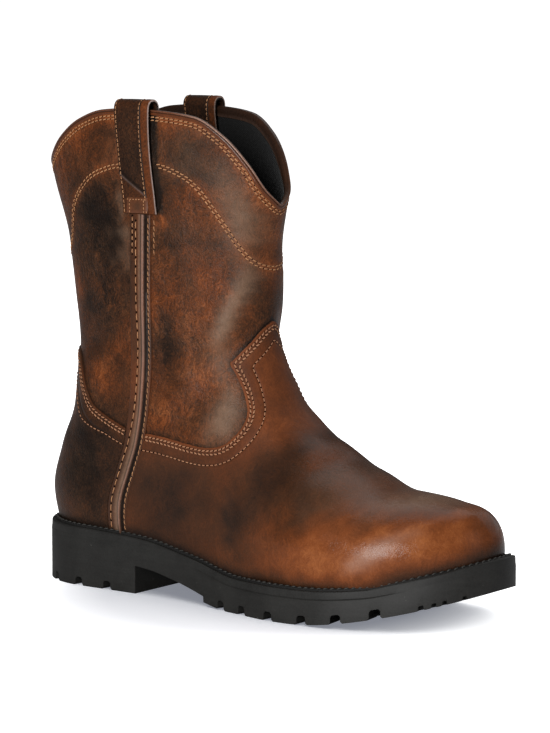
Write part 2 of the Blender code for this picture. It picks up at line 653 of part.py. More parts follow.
def main():
    for thing in list(bpy.data.objects):
        bpy.data.objects.remove(thing)
    home = bpy.data.collections.new("pull_on_work_boot")
    tools = bpy.data.collections.new("cutters")
    for group in (home, tools):
        bpy.context.scene.collection.children.link(group)
    leather = {name: paint(name + " leather", colour, 0.5) for name, colour in (
        ("upper", (0.105, 0.045, 0.024)), ("vamp", (0.13, 0.052, 0.024)), ("counter", (0.11, 0.045, 0.022)),
        ("seam", (0.15, 0.062, 0.03)), ("strap", (0.085, 0.04, 0.022)), ("binding", (0.12, 0.05, 0.03)))}
    rubber = paint("black rubber", (0.012, 0.012, 0.013), 0.6)
    welt = paint("black welt", (0.02, 0.018, 0.017), 0.6)
    lining = paint("black insole", (0.015, 0.015, 0.016), 0.9)

    rings = form_rings(RINGS, AROUND)
    normals = grid_normals(rings)
    build_outsole(home, tools, rubber)
    build_welt(home, welt)
    build_insole(home, rings, lining)
    build_upper(home, rings, normals, leather["upper"])
    build_panels(home, tools, rings, normals, leather)
    for side, word in ((-1, "lateral"), (1, "medial")):
        build_seam("side_seam_" + word, side, home, leather["seam"])
        build_strap("pull_strap_" + word, side, home, leather["strap"])
    build_binding(home, rings, normals, leather["binding"])


if __name__ == "__main__":
    main()
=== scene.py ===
"""Looks of the pull-on work boot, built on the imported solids.

The form is worked out as in the part's source, in metres: x from the heel's back to the toe, y from the
outer side (minus) to the inner side (plus), z up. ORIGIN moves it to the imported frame.
"""

import math

import bpy
import numpy as np
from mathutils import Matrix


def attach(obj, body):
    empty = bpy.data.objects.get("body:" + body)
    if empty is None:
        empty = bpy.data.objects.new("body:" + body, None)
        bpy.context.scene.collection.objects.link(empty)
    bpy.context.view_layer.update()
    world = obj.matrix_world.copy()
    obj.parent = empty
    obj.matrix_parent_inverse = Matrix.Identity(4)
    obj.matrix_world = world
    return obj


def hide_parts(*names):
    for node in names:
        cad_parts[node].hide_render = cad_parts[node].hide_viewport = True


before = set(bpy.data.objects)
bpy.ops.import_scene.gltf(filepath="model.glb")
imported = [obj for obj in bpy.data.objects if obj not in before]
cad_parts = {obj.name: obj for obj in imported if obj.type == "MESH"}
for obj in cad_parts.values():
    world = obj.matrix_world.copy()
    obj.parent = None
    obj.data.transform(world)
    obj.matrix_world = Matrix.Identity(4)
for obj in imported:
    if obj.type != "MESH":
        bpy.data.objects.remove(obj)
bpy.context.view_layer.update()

# Sizes of the form, as in the part's source
SOLE_LENGTH = 0.310
HEEL_LENGTH = 0.0858
TOE_SPRING = 0.0215
SPRING_START = 0.206
COLLAR_TOP = 0.2800
TIP = SOLE_LENGTH - 0.006
WALL = 0.0022
GAP = 0.0003
ORIGIN = np.array([0.15347, -0.00028, 0.0])
UPPER_SINK = 0.0007
PIVOT_X = 0.192
PIVOT_Z = 0.168
BEND_RADIUS = 0.10
QUARTER = BEND_RADIUS * math.pi / 2
TOE_START = 0.229
TOE_POWER = 2.2
# Where the sole's ends begin to round, and how fully
HEEL_ROUND = (0.045, 2.1)
SOLE_TOE_ROUND = (0.225, 2.35)
CHANNEL_INSET = 0.0165
CHANNEL_WIDTH = 0.0045
CHANNEL_DEPTH = 0.0040
# Heel's groove: start, end, middle, half its width and its height
GROOVE = (0.020, 0.095, -0.004, 0.0027, 0.0045)
SEAM_TOP = 0.2217
SEAM_REAR = 0.0100
SEAM_FRONT = 0.0045
STRAP_THICK = 0.0020
SIDES = ((-1, "lateral"), (1, "medial"))

# Depth of the panels' cut edges, how far the shaft goes on under the panels and the seams, and the least and
# most x and z of the patch at a strap's foot
SHAFT_EDGE = 0.0012
PANEL_EDGE = 0.0014
UNDER_PANEL = 0.008
UNDER_SEAM = 0.012
PATCH_X = (0.0803, 0.0952)
PATCH_Z = (0.2223, 0.2314)

# Stitches of each row, in metres and degrees; no hole size means no needle holes
EDGE_STITCH = dict(pitch=0.0028, long=0.0025, wide=0.0008, high=0.00055)
INSIDE_STITCH = dict(pitch=0.0030, long=0.0023)
COLLAR_STITCH = dict(pitch=0.0032, long=0.0027, wide=0.0007, slant=8, hole=0.0004)
DECO_STITCH = dict(pitch=0.0033, long=0.0028, wide=0.0007, slant=8, hole=0.0004)
SEAM_STITCH = dict(pitch=0.0053, long=0.0042, high=0.0004, hole=0.0007)
SEAM_TOP_STITCH = dict(pitch=0.0037, long=0.0026, high=0.0004, hole=0.0007)
BEAD_STITCH = dict(pitch=0.0034, long=0.0030, slant=10, hole=0)
STRAP_STITCH = dict(pitch=0.0027, long=0.00216, wide=0.00055, high=0.0004, hole=0.0003)
PATCH_STITCH = dict(pitch=0.0020, long=0.0016, wide=0.00055, high=0.0004, hole=0.0003)
WELT_STITCH = dict(pitch=0.0042, long=0.0030, wide=0.0009, high=0.0007, slant=18, hole=0)

# Fineness of the skins
AROUND = 320
RINGS = 156
LINING_AROUND = 168
LINING_RINGS = 84
SOLE_POINTS = 256
FINE_POINTS = 720
SEAM_STATIONS = 150
STRAP_STATIONS = 200

# Distance given to points far from an edge, and the height that cutters start from
FAR = 0.05
BELOW_FLOOR = -0.01


def table(names, rows):
    """Short table: a dictionary of columns; those before the bar are in millimetres in the rows."""
    values = np.array(rows, dtype=float)
    values[:, :len(names.partition("|")[0].split())] /= 1000
    return dict(zip(names.replace("|", " ").split(), values.T))


FOOT = table("x ridge core lateral medial axis | fullness", [
    (304, 89, 38, 50, 45.5, 10, 2.24), (275, 73.8, 39, 51, 44, 7, 2.1), (245, 71.3, 39, 52, 47, 4, 1.98),
    (218, 81.9, 41, 53, 47.5, 2, 2), (192, 97.7, 42, 50.5, 44, 1, 1.9)])
ANKLE = table("front core lateral medial axis | angle fullness", [
    (49.3, 122, 41, 37.5, 1, 30, 2), (39.1, 118, 37, 36, 0, 60, 2.1)])
SHAFT = table("z front core lateral medial axis | fullness", [
    (168, 158.6, 80, 37.5, 37.5, 0, 2.2), (200, 158.6, 78, 37, 37, 0, 2.1), (240, 165.5, 74, 36, 36, 0, 2),
    (285, 169.8, 70, 33.5, 33.5, 0, 2)])
BACK = table("z x centre | power", [
    (30, 5.2, 50, 2.1), (55, 1.4, 50, 2.1), (80, 8.8, 52, 2.1), (110, 19.9, 60, 2.1), (140, 21.9, 70, 2.1),
    (170, 17.4, 76, 2.1), (205, 10.6, 76, 2.1), (245, -3.5, 72, 2), (285, -8.4, 68, 2)])
FEATHER = table("x height rim | tuck", [
    (0, 34.5, 0.9, 0.09), (50, 33.7, 0.9, 0.1), (90, 31.5, 0.9, 0.12), (130, 25, 0.9, 0.1),
    (170, 18.5, 0.9, 0.06), (210, 18.5, 1, 0.05), (250, 21, 1.4, 0.05), (285, 29, 2.2, 0.05),
    (310, 36, 3, 0.05)])
COLLAR = table("drop | angle", [
    (39.2, 0), (34.7, 17), (28, 30), (17, 45), (7, 60), (1.2, 75), (0, 90), (1, 105), (3.6, 120), (13.8, 135),
    (29, 150), (45, 165), (53.6, 180)])
SOLE = table("x lateral medial axis", [
    (0, 39.3, 39.3, 0), (45, 39.3, 39.3, 0), (85, 39, 38.8, 0), (125, 42, 40.8, 0), (165, 49.5, 45.2, 0),
    (200, 56, 49, 1), (225, 56, 51, 2), (260, 54.1, 50.5, 6.7), (310, 53.3, 51, 11.1)])
ARCH = table("x z", [
    (85.8, 16.5), (100, 15), (118, 11.5), (130, 8.5), (140.5, 5.8), (140.7, 2.4), (149, 1), (158, 0)])
LEDGE = table("x depth", [
    (0, 0.2), (120, 0.3), (150, 0.9), (250, 0.9), (290, 0.2), (310, 0.2)])
NOTCH = table("x width height reach", [
    (22, 4, 5, 13), (43.7, 4.8, 5, 13), (65.5, 5, 5, 13), (156.5, 4.6, 5.2, 18), (173.9, 4.8, 5.2, 18),
    (195.4, 5.2, 5.2, 18), (217.5, 5.4, 5.2, 18), (239.7, 5.6, 5.2, 18), (261, 6.4, 5.5, 18),
    (283.5, 2.4, 2.8, 9), (289, 2, 2.5, 9), (294, 2, 2.5, 9), (301, 1.8, 2.2, 8)])
CROSS = table("x width height", [
    (166, 4.5, 4), (197, 4.5, 4), (228, 4.5, 4), (259, 4.5, 4)])
SEAM = table("z x", [
    (30, 72.2), (39, 73), (54, 74.9), (72, 80.9), (90, 86.9), (114, 90.7), (146, 92.4), (172, 92), (216, 91.5)])
VAMP = table("x z", [
    (89.7, 94.8), (102.2, 94), (114.6, 92.5), (126.7, 90.7), (134.9, 90.1), (141.7, 90.5), (148.1, 92.4),
    (152.3, 95.4), (155.5, 99.3), (157.8, 103.5), (158.6, 108.1), (157.8, 112.6), (155.9, 117.1),
    (153.4, 122.5), (150.2, 128), (146.9, 133.5), (144.1, 137.9), (146.1, 140.6), (149.4, 145.3), (153, 150.8),
    (156, 156.6), (157.8, 160), (159, 162.5)])
COUNTER = table("x z", [
    (86, 94.5), (80.6, 95.7), (75.9, 97.1), (70, 99.4), (63, 102.5), (57, 105.6), (52.1, 108.9), (48.7, 113.1),
    (45.6, 118.7), (42.4, 124.3), (37.8, 130.5), (33, 136.2), (28, 138.7), (20, 139.9), (0, 140.5)])
STRAP = table("z out x half", [
    (222.2, 2.4, 88.9, 11.5), (230, 2.5, 88, 11.3), (242, 2.9, 86.3, 11.3), (256, 3.4, 84.4, 11.4),
    (270, 4, 82.9, 11.8), (279, 4.4, 82.4, 12.1), (282.8, 4.2, 82.3, 12.2), (285.2, 3, 82.3, 12.2),
    (286.2, 1, 82.3, 12.2), (286.2, -1, 82.3, 12.2), (285.2, -3, 82.3, 12.2), (282.8, -4.2, 82.3, 12.2),
    (278, -4.4, 82.5, 12), (268, -3.8, 83.1, 11.7), (256, -3, 84.4, 11.4), (244, -2.5, 86, 11.3),
    (236, -2.4, 87.1, 11.3)])
# Decorative double row of stitches on the shaft
DECO = table("x z", [
    (11.8, 188.5), (19, 194), (26.6, 203.9), (32.1, 223.3), (40.2, 234.4), (49.4, 241.9), (58.7, 245.8),
    (69.6, 248.6), (85, 249.7), (98.9, 249.7), (107.6, 247.7), (117.3, 243.5), (125.3, 237.4), (134, 226.3),
    (141.3, 215), (147.3, 204.7), (152.7, 196.7), (157, 193), (160, 191.2)])
# Section of the side seams; its tone, with painted shade in the grooves beside the bead and a painted highlight
# on the bead; and the place of the rear stitches, nearer to the bead higher up
STRIP = table("place height", [
    (-10, 0), (-9.9, 0.6), (-9.4, 0.9), (-8.5, 0.92), (-6, 0.98), (-4.6, 1.01), (-3.8, 1.03), (-3, 1.06),
    (-2.2, 1.1), (-1.6, 1.6), (-0.9, 2.2), (0, 2.5), (0.8, 2.2), (1.3, 1.6), (1.7, 0.85), (2.3, 0.85),
    (3.8, 0.8), (4.3, 0.55), (4.5, 0)])
SEAM_TONE = table("place | tone", [
    (-10, 0), (-8, 0.02), (-5, 0.05), (-3.6, 0.16), (-2.8, 0.2), (-2.1, -0.2), (-1.6, -0.48), (-0.8, 0.1),
    (0, 0.22), (0.8, 0.06), (1.4, -0.48), (2.2, -0.3), (2.8, 0.02), (4.5, 0.04)])
SEAM_ROW = table("z place", [
    (20, -7.2), (75, -7.2), (98, -6), (120, -5), (148, -4.6), (175, -5.4), (230, -5.6)])
# Section of the binding over the collar's edge, with its tone, darker on the inner face and, as painted shade, in
# the groove where the roll meets the leather, and its pale painted highlight on the roll's outer corner and inner
# lip;
# and of the welt in its channel
TAPE = table("out up | tone pale", [
    (1.18, -0.9, 0.16, 0), (1.34, -0.7, 0.2, 0), (1.38, 0.2, 0.22, 0), (1.3, 0.6, 0.06, 0),
    (1.18, 0.8, -0.2, 0), (1.5, 1.1, 0.14, 0), (1.76, 1.5, 0.24, 0.1), (1.6, 1.9, 0.18, 0.09),
    (1.05, 2.2, -0.02, 0.02), (0, 2.3, -0.12, 0), (-1.05, 2.1, -0.12, 0), (-1.6, 1.2, -0.14, 0),
    (-1.8, 0.2, -0.16, 0), (-1.82, -1.5, -0.18, 0), (-1.76, -3.3, -0.18, 0.1), (-1.55, -4, -0.12, 0.16),
    (-1.1, -4.1, -0.3, 0)])
WELT = table("inset rise", [
    (2.8, -1.2), (2.6, 0), (2.8, 0.8), (3.4, 1.3), (4.1, 1.4), (4.8, 1.1), (5.4, 0.4), (6, 0), (10, -0.3),
    (10, -1.2)])
# Folds of the leather, placed along lines in the side view: minus is a trough
FOLDS = table("x0 z0 x1 z1 width height", [
    (153, 236, 150, 204, 9, 1), (151.7, 190, 138, 152, 6, 1.6), (158, 184, 150, 156, 6, -1.4),
    (126, 214, 123, 165, 11, -0.9), (148, 120, 146, 103, 8, 0.8), (144, 146, 126, 131, 6, -1),
    (134, 122, 116, 104, 6.5, -0.9), (122, 125, 108, 112, 6, 0.7), (108, 186, 105, 130, 10, -0.8),
    (56, 215, 48, 150, 14, -1), (30, 190, 33, 140, 11, 0.8), (66, 150, 36, 137, 6, -0.7),
    (72, 128, 44, 120, 6, 0.6), (166, 118, 188, 104, 7.5, -1), (174, 108, 203, 91, 7, 0.7),
    (169, 92, 206, 83, 8, -0.8), (162, 60, 164, 30, 6.5, -1.1), (174, 66, 208, 70, 9, 0.7),
    (192, 52, 226, 64, 9, -0.7), (178, 44, 183, 28, 6, 0.6), (102, 70, 133, 64, 9, -0.5),
    (112, 50, 142, 44, 10, 0.6), (28, 98, 48, 70, 11, -0.6)])
# Tone of the leather by place in the side view, partly its own dark and orange patches and partly painted shade,
# such as in hollows beside folds and near the toe's foot: minus is dark, plus is orange brown
TONES = table("x z reach | amount", [
    (118, 254, 22, -0.3), (54, 205, 24, -0.72), (66, 171, 18, -0.5), (105, 150, 12, -0.62), (46, 81, 26, -0.66),
    (50, 58, 18, -0.3), (111, 60, 24, -0.48), (190, 82, 18, -0.3), (163, 55, 10, -0.4), (158, 176, 9, -0.04),
    (53, 230, 16, -0.5), (161, 38, 7, -0.34), (217, 79, 18, -0.02), (52, 168, 13, -0.3), (105, 207, 11, -0.34),
    (213, 66, 12, -0.24), (100, 243, 9, -0.3), (180, 66, 14, -0.28), (129, 177, 12, 0.22), (123, 117, 20, 0.08),
    (105, 226, 10, 0.02), (99.6, 220, 4.5, 0.6), (233, 38, 18, 0.66), (213, 36, 15, 0.46), (260, 41, 20, 1),
    (285, 43, 20, 0.74), (156.2, 170, 9, -0.02), (153, 152, 8, -0.24), (159, 158, 10, -0.12),
    (181, 107, 12, 0.16), (204, 89, 12, 0.24), (231, 76, 12, 0.12), (303, 46, 16, 0.4), (274.5, 53, 6, 0.2),
    (98, 199, 8, 0.24), (101, 122, 12, 0.12), (81, 128, 10, 0.22), (158, 208, 12, 0.36), (143, 236, 10, 0.24),
    (128, 134, 10, 0.12), (165, 91, 9, 0.12), (172, 102, 13, 0.16), (190, 33, 14, 0.26), (58, 129, 10, 0.24),
    (96, 173, 7, 0.26), (181, 112, 12, 0.22), (30, 175, 12, 0.2), (20, 110, 14, 0.18), (226, 58, 10, 0.22),
    (72, 118, 8, 0.16), (157, 149, 10, 0.26), (162, 133, 10, 0.22), (167, 126, 8, 0.18), (162, 190, 8, 0.22),
    (195, 89, 8, -0.2), (210, 78, 8, -0.14), (275, 58, 8, -0.24), (299, 42, 9, -0.34)])
# Painted greyish sheen by place in the side view, with a pale strip behind the strap's foot
SHEEN_SPOTS = table("x z reach | amount", [
    (74.5, 226.3, 5, 0.42), (74.8, 209, 6, 0.4), (77, 197.6, 6, 0.25), (223, 75, 16, 0.18),
    (120.8, 253.8, 14, 0.16), (245, 69, 14, 0.14), (80, 255, 15, 0.1)])
# Painted sheens along the folds and the toe's top: points of lines in the side view
STREAKS = table("x z width | line amount", [
    (139, 246, 7.5, 0, 0.25), (145, 233, 9, 0, 0.55), (149, 222, 9.5, 0, 0.72), (149.5, 212, 8.5, 0, 0.66),
    (148, 201, 6.5, 0, 0.25), (152.8, 201, 4, 1, 0.15), (152, 196.1, 4.2, 1, 0.4), (151.7, 188.7, 4.6, 1, 0.62),
    (148.9, 180.2, 4.8, 1, 0.85), (145, 171.6, 4.8, 1, 1), (141.5, 163, 4.8, 1, 1),
    (138.4, 154.3, 5.2, 1, 0.85), (137.3, 148.5, 5.4, 1, 0.62), (138.5, 137.2, 5.6, 1, 0.4),
    (142.5, 126, 5.6, 1, 0.3), (146.2, 122.5, 6, 2, 0.5), (146.2, 112.3, 8, 2, 0.92), (144.5, 104, 8.5, 2, 1),
    (139.5, 98.5, 7, 2, 0.5), (246.3, 69, 4, 3, 0.22), (255.8, 68.8, 3.6, 3, 0.5), (262.1, 69, 3.4, 3, 0.85),
    (275.1, 69, 3.4, 3, 0.9), (281.5, 68.2, 3, 3, 0.7), (289, 66.8, 2.6, 3, 0.42), (296.4, 64.2, 2.4, 3, 0.34),
    (301.4, 60, 2.4, 3, 0.22)])
# Painted highlight in a streak along the toe's side
TOE_HIGHLIGHT = table("x z width | line amount", [
    (242.4, 33, 3.2, 0, 0.12), (246.6, 36, 4.2, 0, 0.38), (251.2, 39.1, 4.8, 0, 0.52), (256, 42.4, 5, 0, 0.54),
    (260.5, 45.6, 4.8, 0, 0.5), (265, 48.5, 4.4, 0, 0.42), (269, 51.1, 4, 0, 0.3), (272, 53, 3.8, 0, 0.2),
    (275.5, 54.2, 3.6, 0, 0.14), (279, 54.6, 3.2, 0, 0.04)])


# Number helpers
def fade(value, start, end):
    """Zero up to the start and one from the end on, where the end may lie before the start."""
    return np.clip((value - start) / (end - start), 0, 1)


def ease(share):
    return share * share * (3 - 2 * share)


def hump(value, width):
    """One at zero, falling off smoothly over the width."""
    return np.exp(-(value / width) ** 2)


def unit(v):
    return v / np.maximum(np.linalg.norm(v, axis=-1, keepdims=True), 1e-12)


def travelled(points):
    """Length along a line up to each of its points."""
    return np.concatenate([[0], np.cumsum(np.linalg.norm(np.diff(points, axis=0), axis=1))])


def picked(values, length, at):
    """Columns of values at other lengths along their line."""
    return np.stack([np.interp(at, length, column) for column in values.T], 1)


def curve(xs, ys):
    """Smooth curve through the points that does not overshoot them."""
    order = np.argsort(xs)
    xs = np.asarray(xs, float)[order]
    ys = np.asarray(ys, float)[order]
    step = np.diff(xs)
    rise = np.diff(ys) / step
    slope = np.zeros_like(ys)
    slope[[0, -1]] = rise[[0, -1]]
    for i in range(1, len(xs) - 1):
        if rise[i - 1] * rise[i] > 0:
            a = 2 * step[i] + step[i - 1]
            b = step[i] + 2 * step[i - 1]
            slope[i] = (a + b) / (a / rise[i - 1] + b / rise[i])

    def at(x):
        x = np.clip(np.asarray(x, float), xs[0], xs[-1])
        k = np.clip(np.searchsorted(xs, x) - 1, 0, len(xs) - 2)
        h = step[k]
        t = (x - xs[k]) / h
        left = (1 + 2 * t) * (1 - t) ** 2 * ys[k] + t * (1 - t) ** 2 * h * slope[k]
        return left + t * t * (3 - 2 * t) * ys[k + 1] + t * t * (t - 1) * h * slope[k + 1]
    return at


def by(rows, key, name):
    """One column of a table as a curve over another."""
    return curve(rows[key], rows[name])


# The form
def bent(foot, ankle, shaft):
    """One column of the three section tables as a curve along the bend."""
    along = np.concatenate([PIVOT_X - FOOT["x"], BEND_RADIUS * np.radians(ANKLE["angle"]),
                            QUARTER + SHAFT["z"] - PIVOT_Z])
    return curve(along, np.concatenate([foot, ankle, shaft]))


front_radius = bent(PIVOT_Z - FOOT["ridge"], ANKLE["front"], PIVOT_X - SHAFT["front"])
core_radius = bent(PIVOT_Z - FOOT["core"], ANKLE["core"], PIVOT_X - SHAFT["core"])
lateral_half, medial_half, section_axis, section_full = (
    bent(FOOT[name], ANKLE[name], SHAFT[name]) for name in ("lateral", "medial", "axis", "fullness"))
back_x, back_centre, back_power = (by(BACK, "z", name) for name in ("x", "centre", "power"))
feather, rim_rise, tuck = (by(FEATHER, "x", name) for name in ("height", "rim", "tuck"))
collar_drop = by(COLLAR, "angle", "drop")
seam_x = by(SEAM, "z", "x")
ledge_depth = by(LEDGE, "x", "depth")


def collar_z(angle):
    return COLLAR_TOP - collar_drop(np.degrees(angle))


def bend(x, z):
    """Distance along the bend and out from the pivot of a point in the side view."""
    ahead = PIVOT_X - x
    below = PIVOT_Z - z
    turn = np.arctan2(np.maximum(ahead, 0), np.maximum(below, 1e-9))
    along = np.where(ahead <= 0, ahead, np.where(below <= 0, QUARTER - below, BEND_RADIUS * turn))
    out = np.where(ahead <= 0, below, np.where(below <= 0, ahead, np.hypot(ahead, below)))
    return along, out


def side_y(x, z, side):
    """Outer face of the form in the side view; side is -1 for lateral and 1 for medial."""
    along, out = bend(x, z)
    core = core_radius(along)
    front = np.clip((core - out) / (core - front_radius(along)), 0, None)
    centre = back_centre(z)
    back = np.clip((centre - x) / (centre - back_x(z)), 0, None)
    toe = np.clip((x - TOE_START) / (TIP - TOE_START), 0, None)
    full = 1 - front ** section_full(along) - back ** back_power(z) - toe ** TOE_POWER
    low = np.clip(1 - (z - feather(x)) / 0.022, 0, 1)
    half = np.where(side < 0, lateral_half(along), medial_half(along)) * (1 - tuck(x) * low ** 2)
    return section_axis(along) + side * half * np.sqrt(np.clip(full, 0, None))


def front_line(count):
    """Middle line of the form's front from the toe's foot over the instep to the collar."""
    x = TIP - (TIP - PIVOT_X) * (1 - np.cos(np.linspace(0, math.pi / 2, count)))
    along = PIVOT_X - x
    toe = fade(x, TOE_START, TIP)
    core = core_radius(along)
    rise = (1 - toe ** TOE_POWER) ** (1 / section_full(along))
    foot = np.stack([x, PIVOT_Z - core + rise * (core - front_radius(along))], 1)
    turn = np.linspace(0, math.pi / 2, count // 2)[1:]
    radius = front_radius(BEND_RADIUS * turn)
    throat = np.stack([PIVOT_X - radius * np.sin(turn), PIVOT_Z - radius * np.cos(turn)], 1)
    z = np.linspace(PIVOT_Z, float(collar_z(math.pi)), count // 2)[1:]
    shaft = np.stack([PIVOT_X - front_radius(QUARTER + z - PIVOT_Z), z], 1)
    return np.vstack([[(TIP, float(feather(TIP)))], foot, throat, shaft])


def form_rings(count, around):
    """Closed rings of the outer form from the feather line to the collar."""
    line = front_line(400)
    length = travelled(line)
    throat_z = 0.150
    throat = np.argmin(np.abs(line[:, 1] - throat_z) + (line[:, 0] > PIVOT_X))
    low = float(feather(0.01))
    high = float(collar_z(0.0))
    front_share = curve([0, 0.25, 0.6, 1], [0, 0.16, length[throat] / length[-1], 1])
    back_share = curve([0, 0.25, 0.4, 0.6, 1], [0, 0.08, 0.25, (throat_z - low) / (high - low), 1])
    angle = np.linspace(0, math.pi, around // 2 + 1)
    share = (1 - np.cos(angle)) / 2
    rings = []
    for t in np.linspace(0, 1, count):
        front_x, front_z = (np.interp(front_share(t) * length[-1], length, column) for column in line.T)
        back_z = low + (high - low) * back_share(t)
        start = float(back_x(back_z))
        x = start + (front_x - start) * share
        z = back_z + (front_z - back_z) * share
        seat = max(0, 1 - t / 0.35) ** 2
        z = z + seat * (feather(x) - feather(start) - (feather(TIP) - feather(start)) * share)
        lip = max(0, (t - 0.5) / 0.5) ** 2
        z = z + lip * (collar_z(angle) - high - (collar_z(math.pi) - high) * share)
        lateral, medial = (np.stack([x, side_y(x, z, side), z], 1) for side in (-1, 1))
        lateral[[0, -1], 1] = section_axis(bend(x, z)[0])[[0, -1]]
        rings.append(np.vstack([lateral, medial[-2:0:-1]]))
    return np.array(rings)


def grid_normals(grid):
    """Outward directions at the points of a closed grid of rings."""
    round_it = np.roll(grid, -1, 1) - np.roll(grid, 1, 1)
    normal = np.cross(round_it, np.gradient(grid, axis=0))
    normal[0, :, 2] = 0
    return unit(normal)


def plan_normals(points):
    """Outward directions at the points of a closed outline seen from above."""
    way = np.roll(points, -1, 0) - np.roll(points, 1, 0)
    return unit(np.stack([way[:, 1], -way[:, 0]], 1))


def outline(count, inset=0.0):
    """Plan outline of the outsole, moved inward along its own normals."""
    x = SOLE_LENGTH * (1 - np.cos(np.linspace(0, math.pi, count // 2 + 1))) / 2
    heel = fade(x, HEEL_ROUND[0], 0)
    toe = fade(x, SOLE_TOE_ROUND[0], SOLE_LENGTH)
    full = np.sqrt(np.clip(1 - heel ** HEEL_ROUND[1] - toe ** SOLE_TOE_ROUND[1], 0, None))
    axis, lateral, medial = (by(SOLE, "x", name)(x) for name in ("axis", "lateral", "medial"))
    points = np.vstack([np.stack([x, axis - lateral * full], 1), np.stack([x, axis + medial * full], 1)[-2:0:-1]])
    return points - inset * plan_normals(points)


def under(x):
    """Height of the sole's underside, lugs apart."""
    arch = np.interp(x, ARCH["x"], ARCH["z"], left=0, right=0)
    rise = np.clip((x - SPRING_START) / (SOLE_LENGTH - SPRING_START), 0, None)
    return arch + TOE_SPRING * rise ** 1.7


# Fields over the form in the side view
def segment_gap(x, z, x0, z0, x1, z1):
    """Distance of points from a line piece in the side view, and the share along it."""
    dx, dz = x1 - x0, z1 - z0
    share = np.clip(((x - x0) * dx + (z - z0) * dz) / (dx * dx + dz * dz), 0, 1)
    return np.hypot(x - x0 - share * dx, z - z0 - share * dz), share


def relief(x, z, side):
    """Height of the folds over the smooth form; the far side has its own, slightly moved."""
    x = np.where(side < 0, x, x - 0.004)
    z_here = np.where(side < 0, z, z + 0.003)
    total = np.zeros(np.broadcast(x, z).shape)
    for *ends, width, height in zip(*FOLDS.values()):
        total += height * hump(segment_gap(x, z_here, *ends)[0], width)
    return total * ease(fade(z - feather(x), 0.004, 0.016))


def blobs(rows, x, z):
    """Sum of soft spots in the side view, their borders made uneven."""
    def waves(*terms):
        return sum(high * np.sin(a * x + b * z + phase) for high, a, b, phase in terms)

    moved_x = x + waves((0.0026, 210, 95, 0.7), (0.0020, -120, 330, 2.1), (0.0012, 610, 480, 0))
    moved_z = z + waves((0.0028, -140, 190, 1.3), (0.0020, 350, 150, 0.4), (0.0012, -410, 640, 0))
    return sum(amount * hump(np.hypot(moved_x - cx, moved_z - cz), reach)
               for cx, cz, reach, amount in zip(*rows.values()))


def streaks(rows, x, z):
    """Painted sheen along lines in the side view."""
    x = x + 0.0005 * np.sin(900 * z) + 0.0004 * np.sin(1700 * z + 500 * x)
    total = np.zeros(np.broadcast(x, z).shape)
    points = np.stack(list(rows.values()), 1)
    for a, b in zip(points, points[1:]):
        if a[3] == b[3]:
            gap, share = segment_gap(x, z, *a[:2], *b[:2])
            width, amount = (a[i] + (b[i] - a[i]) * share for i in (2, 4))
            total = np.maximum(total, amount * hump(gap, width))
    return total


def surface(x, z, side, lift=0.0):
    """Points on the folded form and their outward directions, for places in the side view."""
    x, z = np.broadcast_arrays(np.asarray(x, float), np.asarray(z, float))
    e = 0.0006
    slope_x = (side_y(x + e, z, side) - side_y(x - e, z, side)) / (2 * e)
    slope_z = (side_y(x, z + e, side) - side_y(x, z - e, side)) / (2 * e)
    normal = unit(np.stack([-side * slope_x, np.full_like(x, side), -side * slope_z], -1))
    point = np.stack([x, side_y(x, z, side), z], -1)
    return point + normal * (relief(x, z, side) + lift)[..., None], normal


# Shader helpers
class Wire:
    """Output of a shader node; sums and products with it make further nodes."""

    def __init__(self, tree, socket):
        self.tree = tree
        self.socket = socket

    def maths(self, kind, a, b=0.0):
        made = self.tree.nodes.new("ShaderNodeMath")
        made.operation = kind
        plug(made.inputs[0], a)
        plug(made.inputs[1], b)
        return Wire(self.tree, made.outputs["Value"])

    def __add__(self, other):
        return self.maths("ADD", self, other)

    def __sub__(self, other):
        return self.maths("SUBTRACT", self, other)

    def __rsub__(self, other):
        return self.maths("SUBTRACT", other, self)

    def __mul__(self, other):
        return self.maths("MULTIPLY", self, other)

    def clamped(self):
        self.socket.node.use_clamp = True
        return self

    def bell(self, centre, width):
        """One where the wire has the centre's value, falling off smoothly over the width."""
        part = (self - centre) * (1.0 / width)
        return self.maths("EXPONENT", part * part * -1.0)


def plug(entry, value):
    """Link a wire to a socket, or set a number, vector or colour on it."""
    if isinstance(value, Wire):
        value.tree.links.new(value.socket, entry)
    else:
        entry.default_value = (*value, 1.0) if entry.type == "RGBA" else value


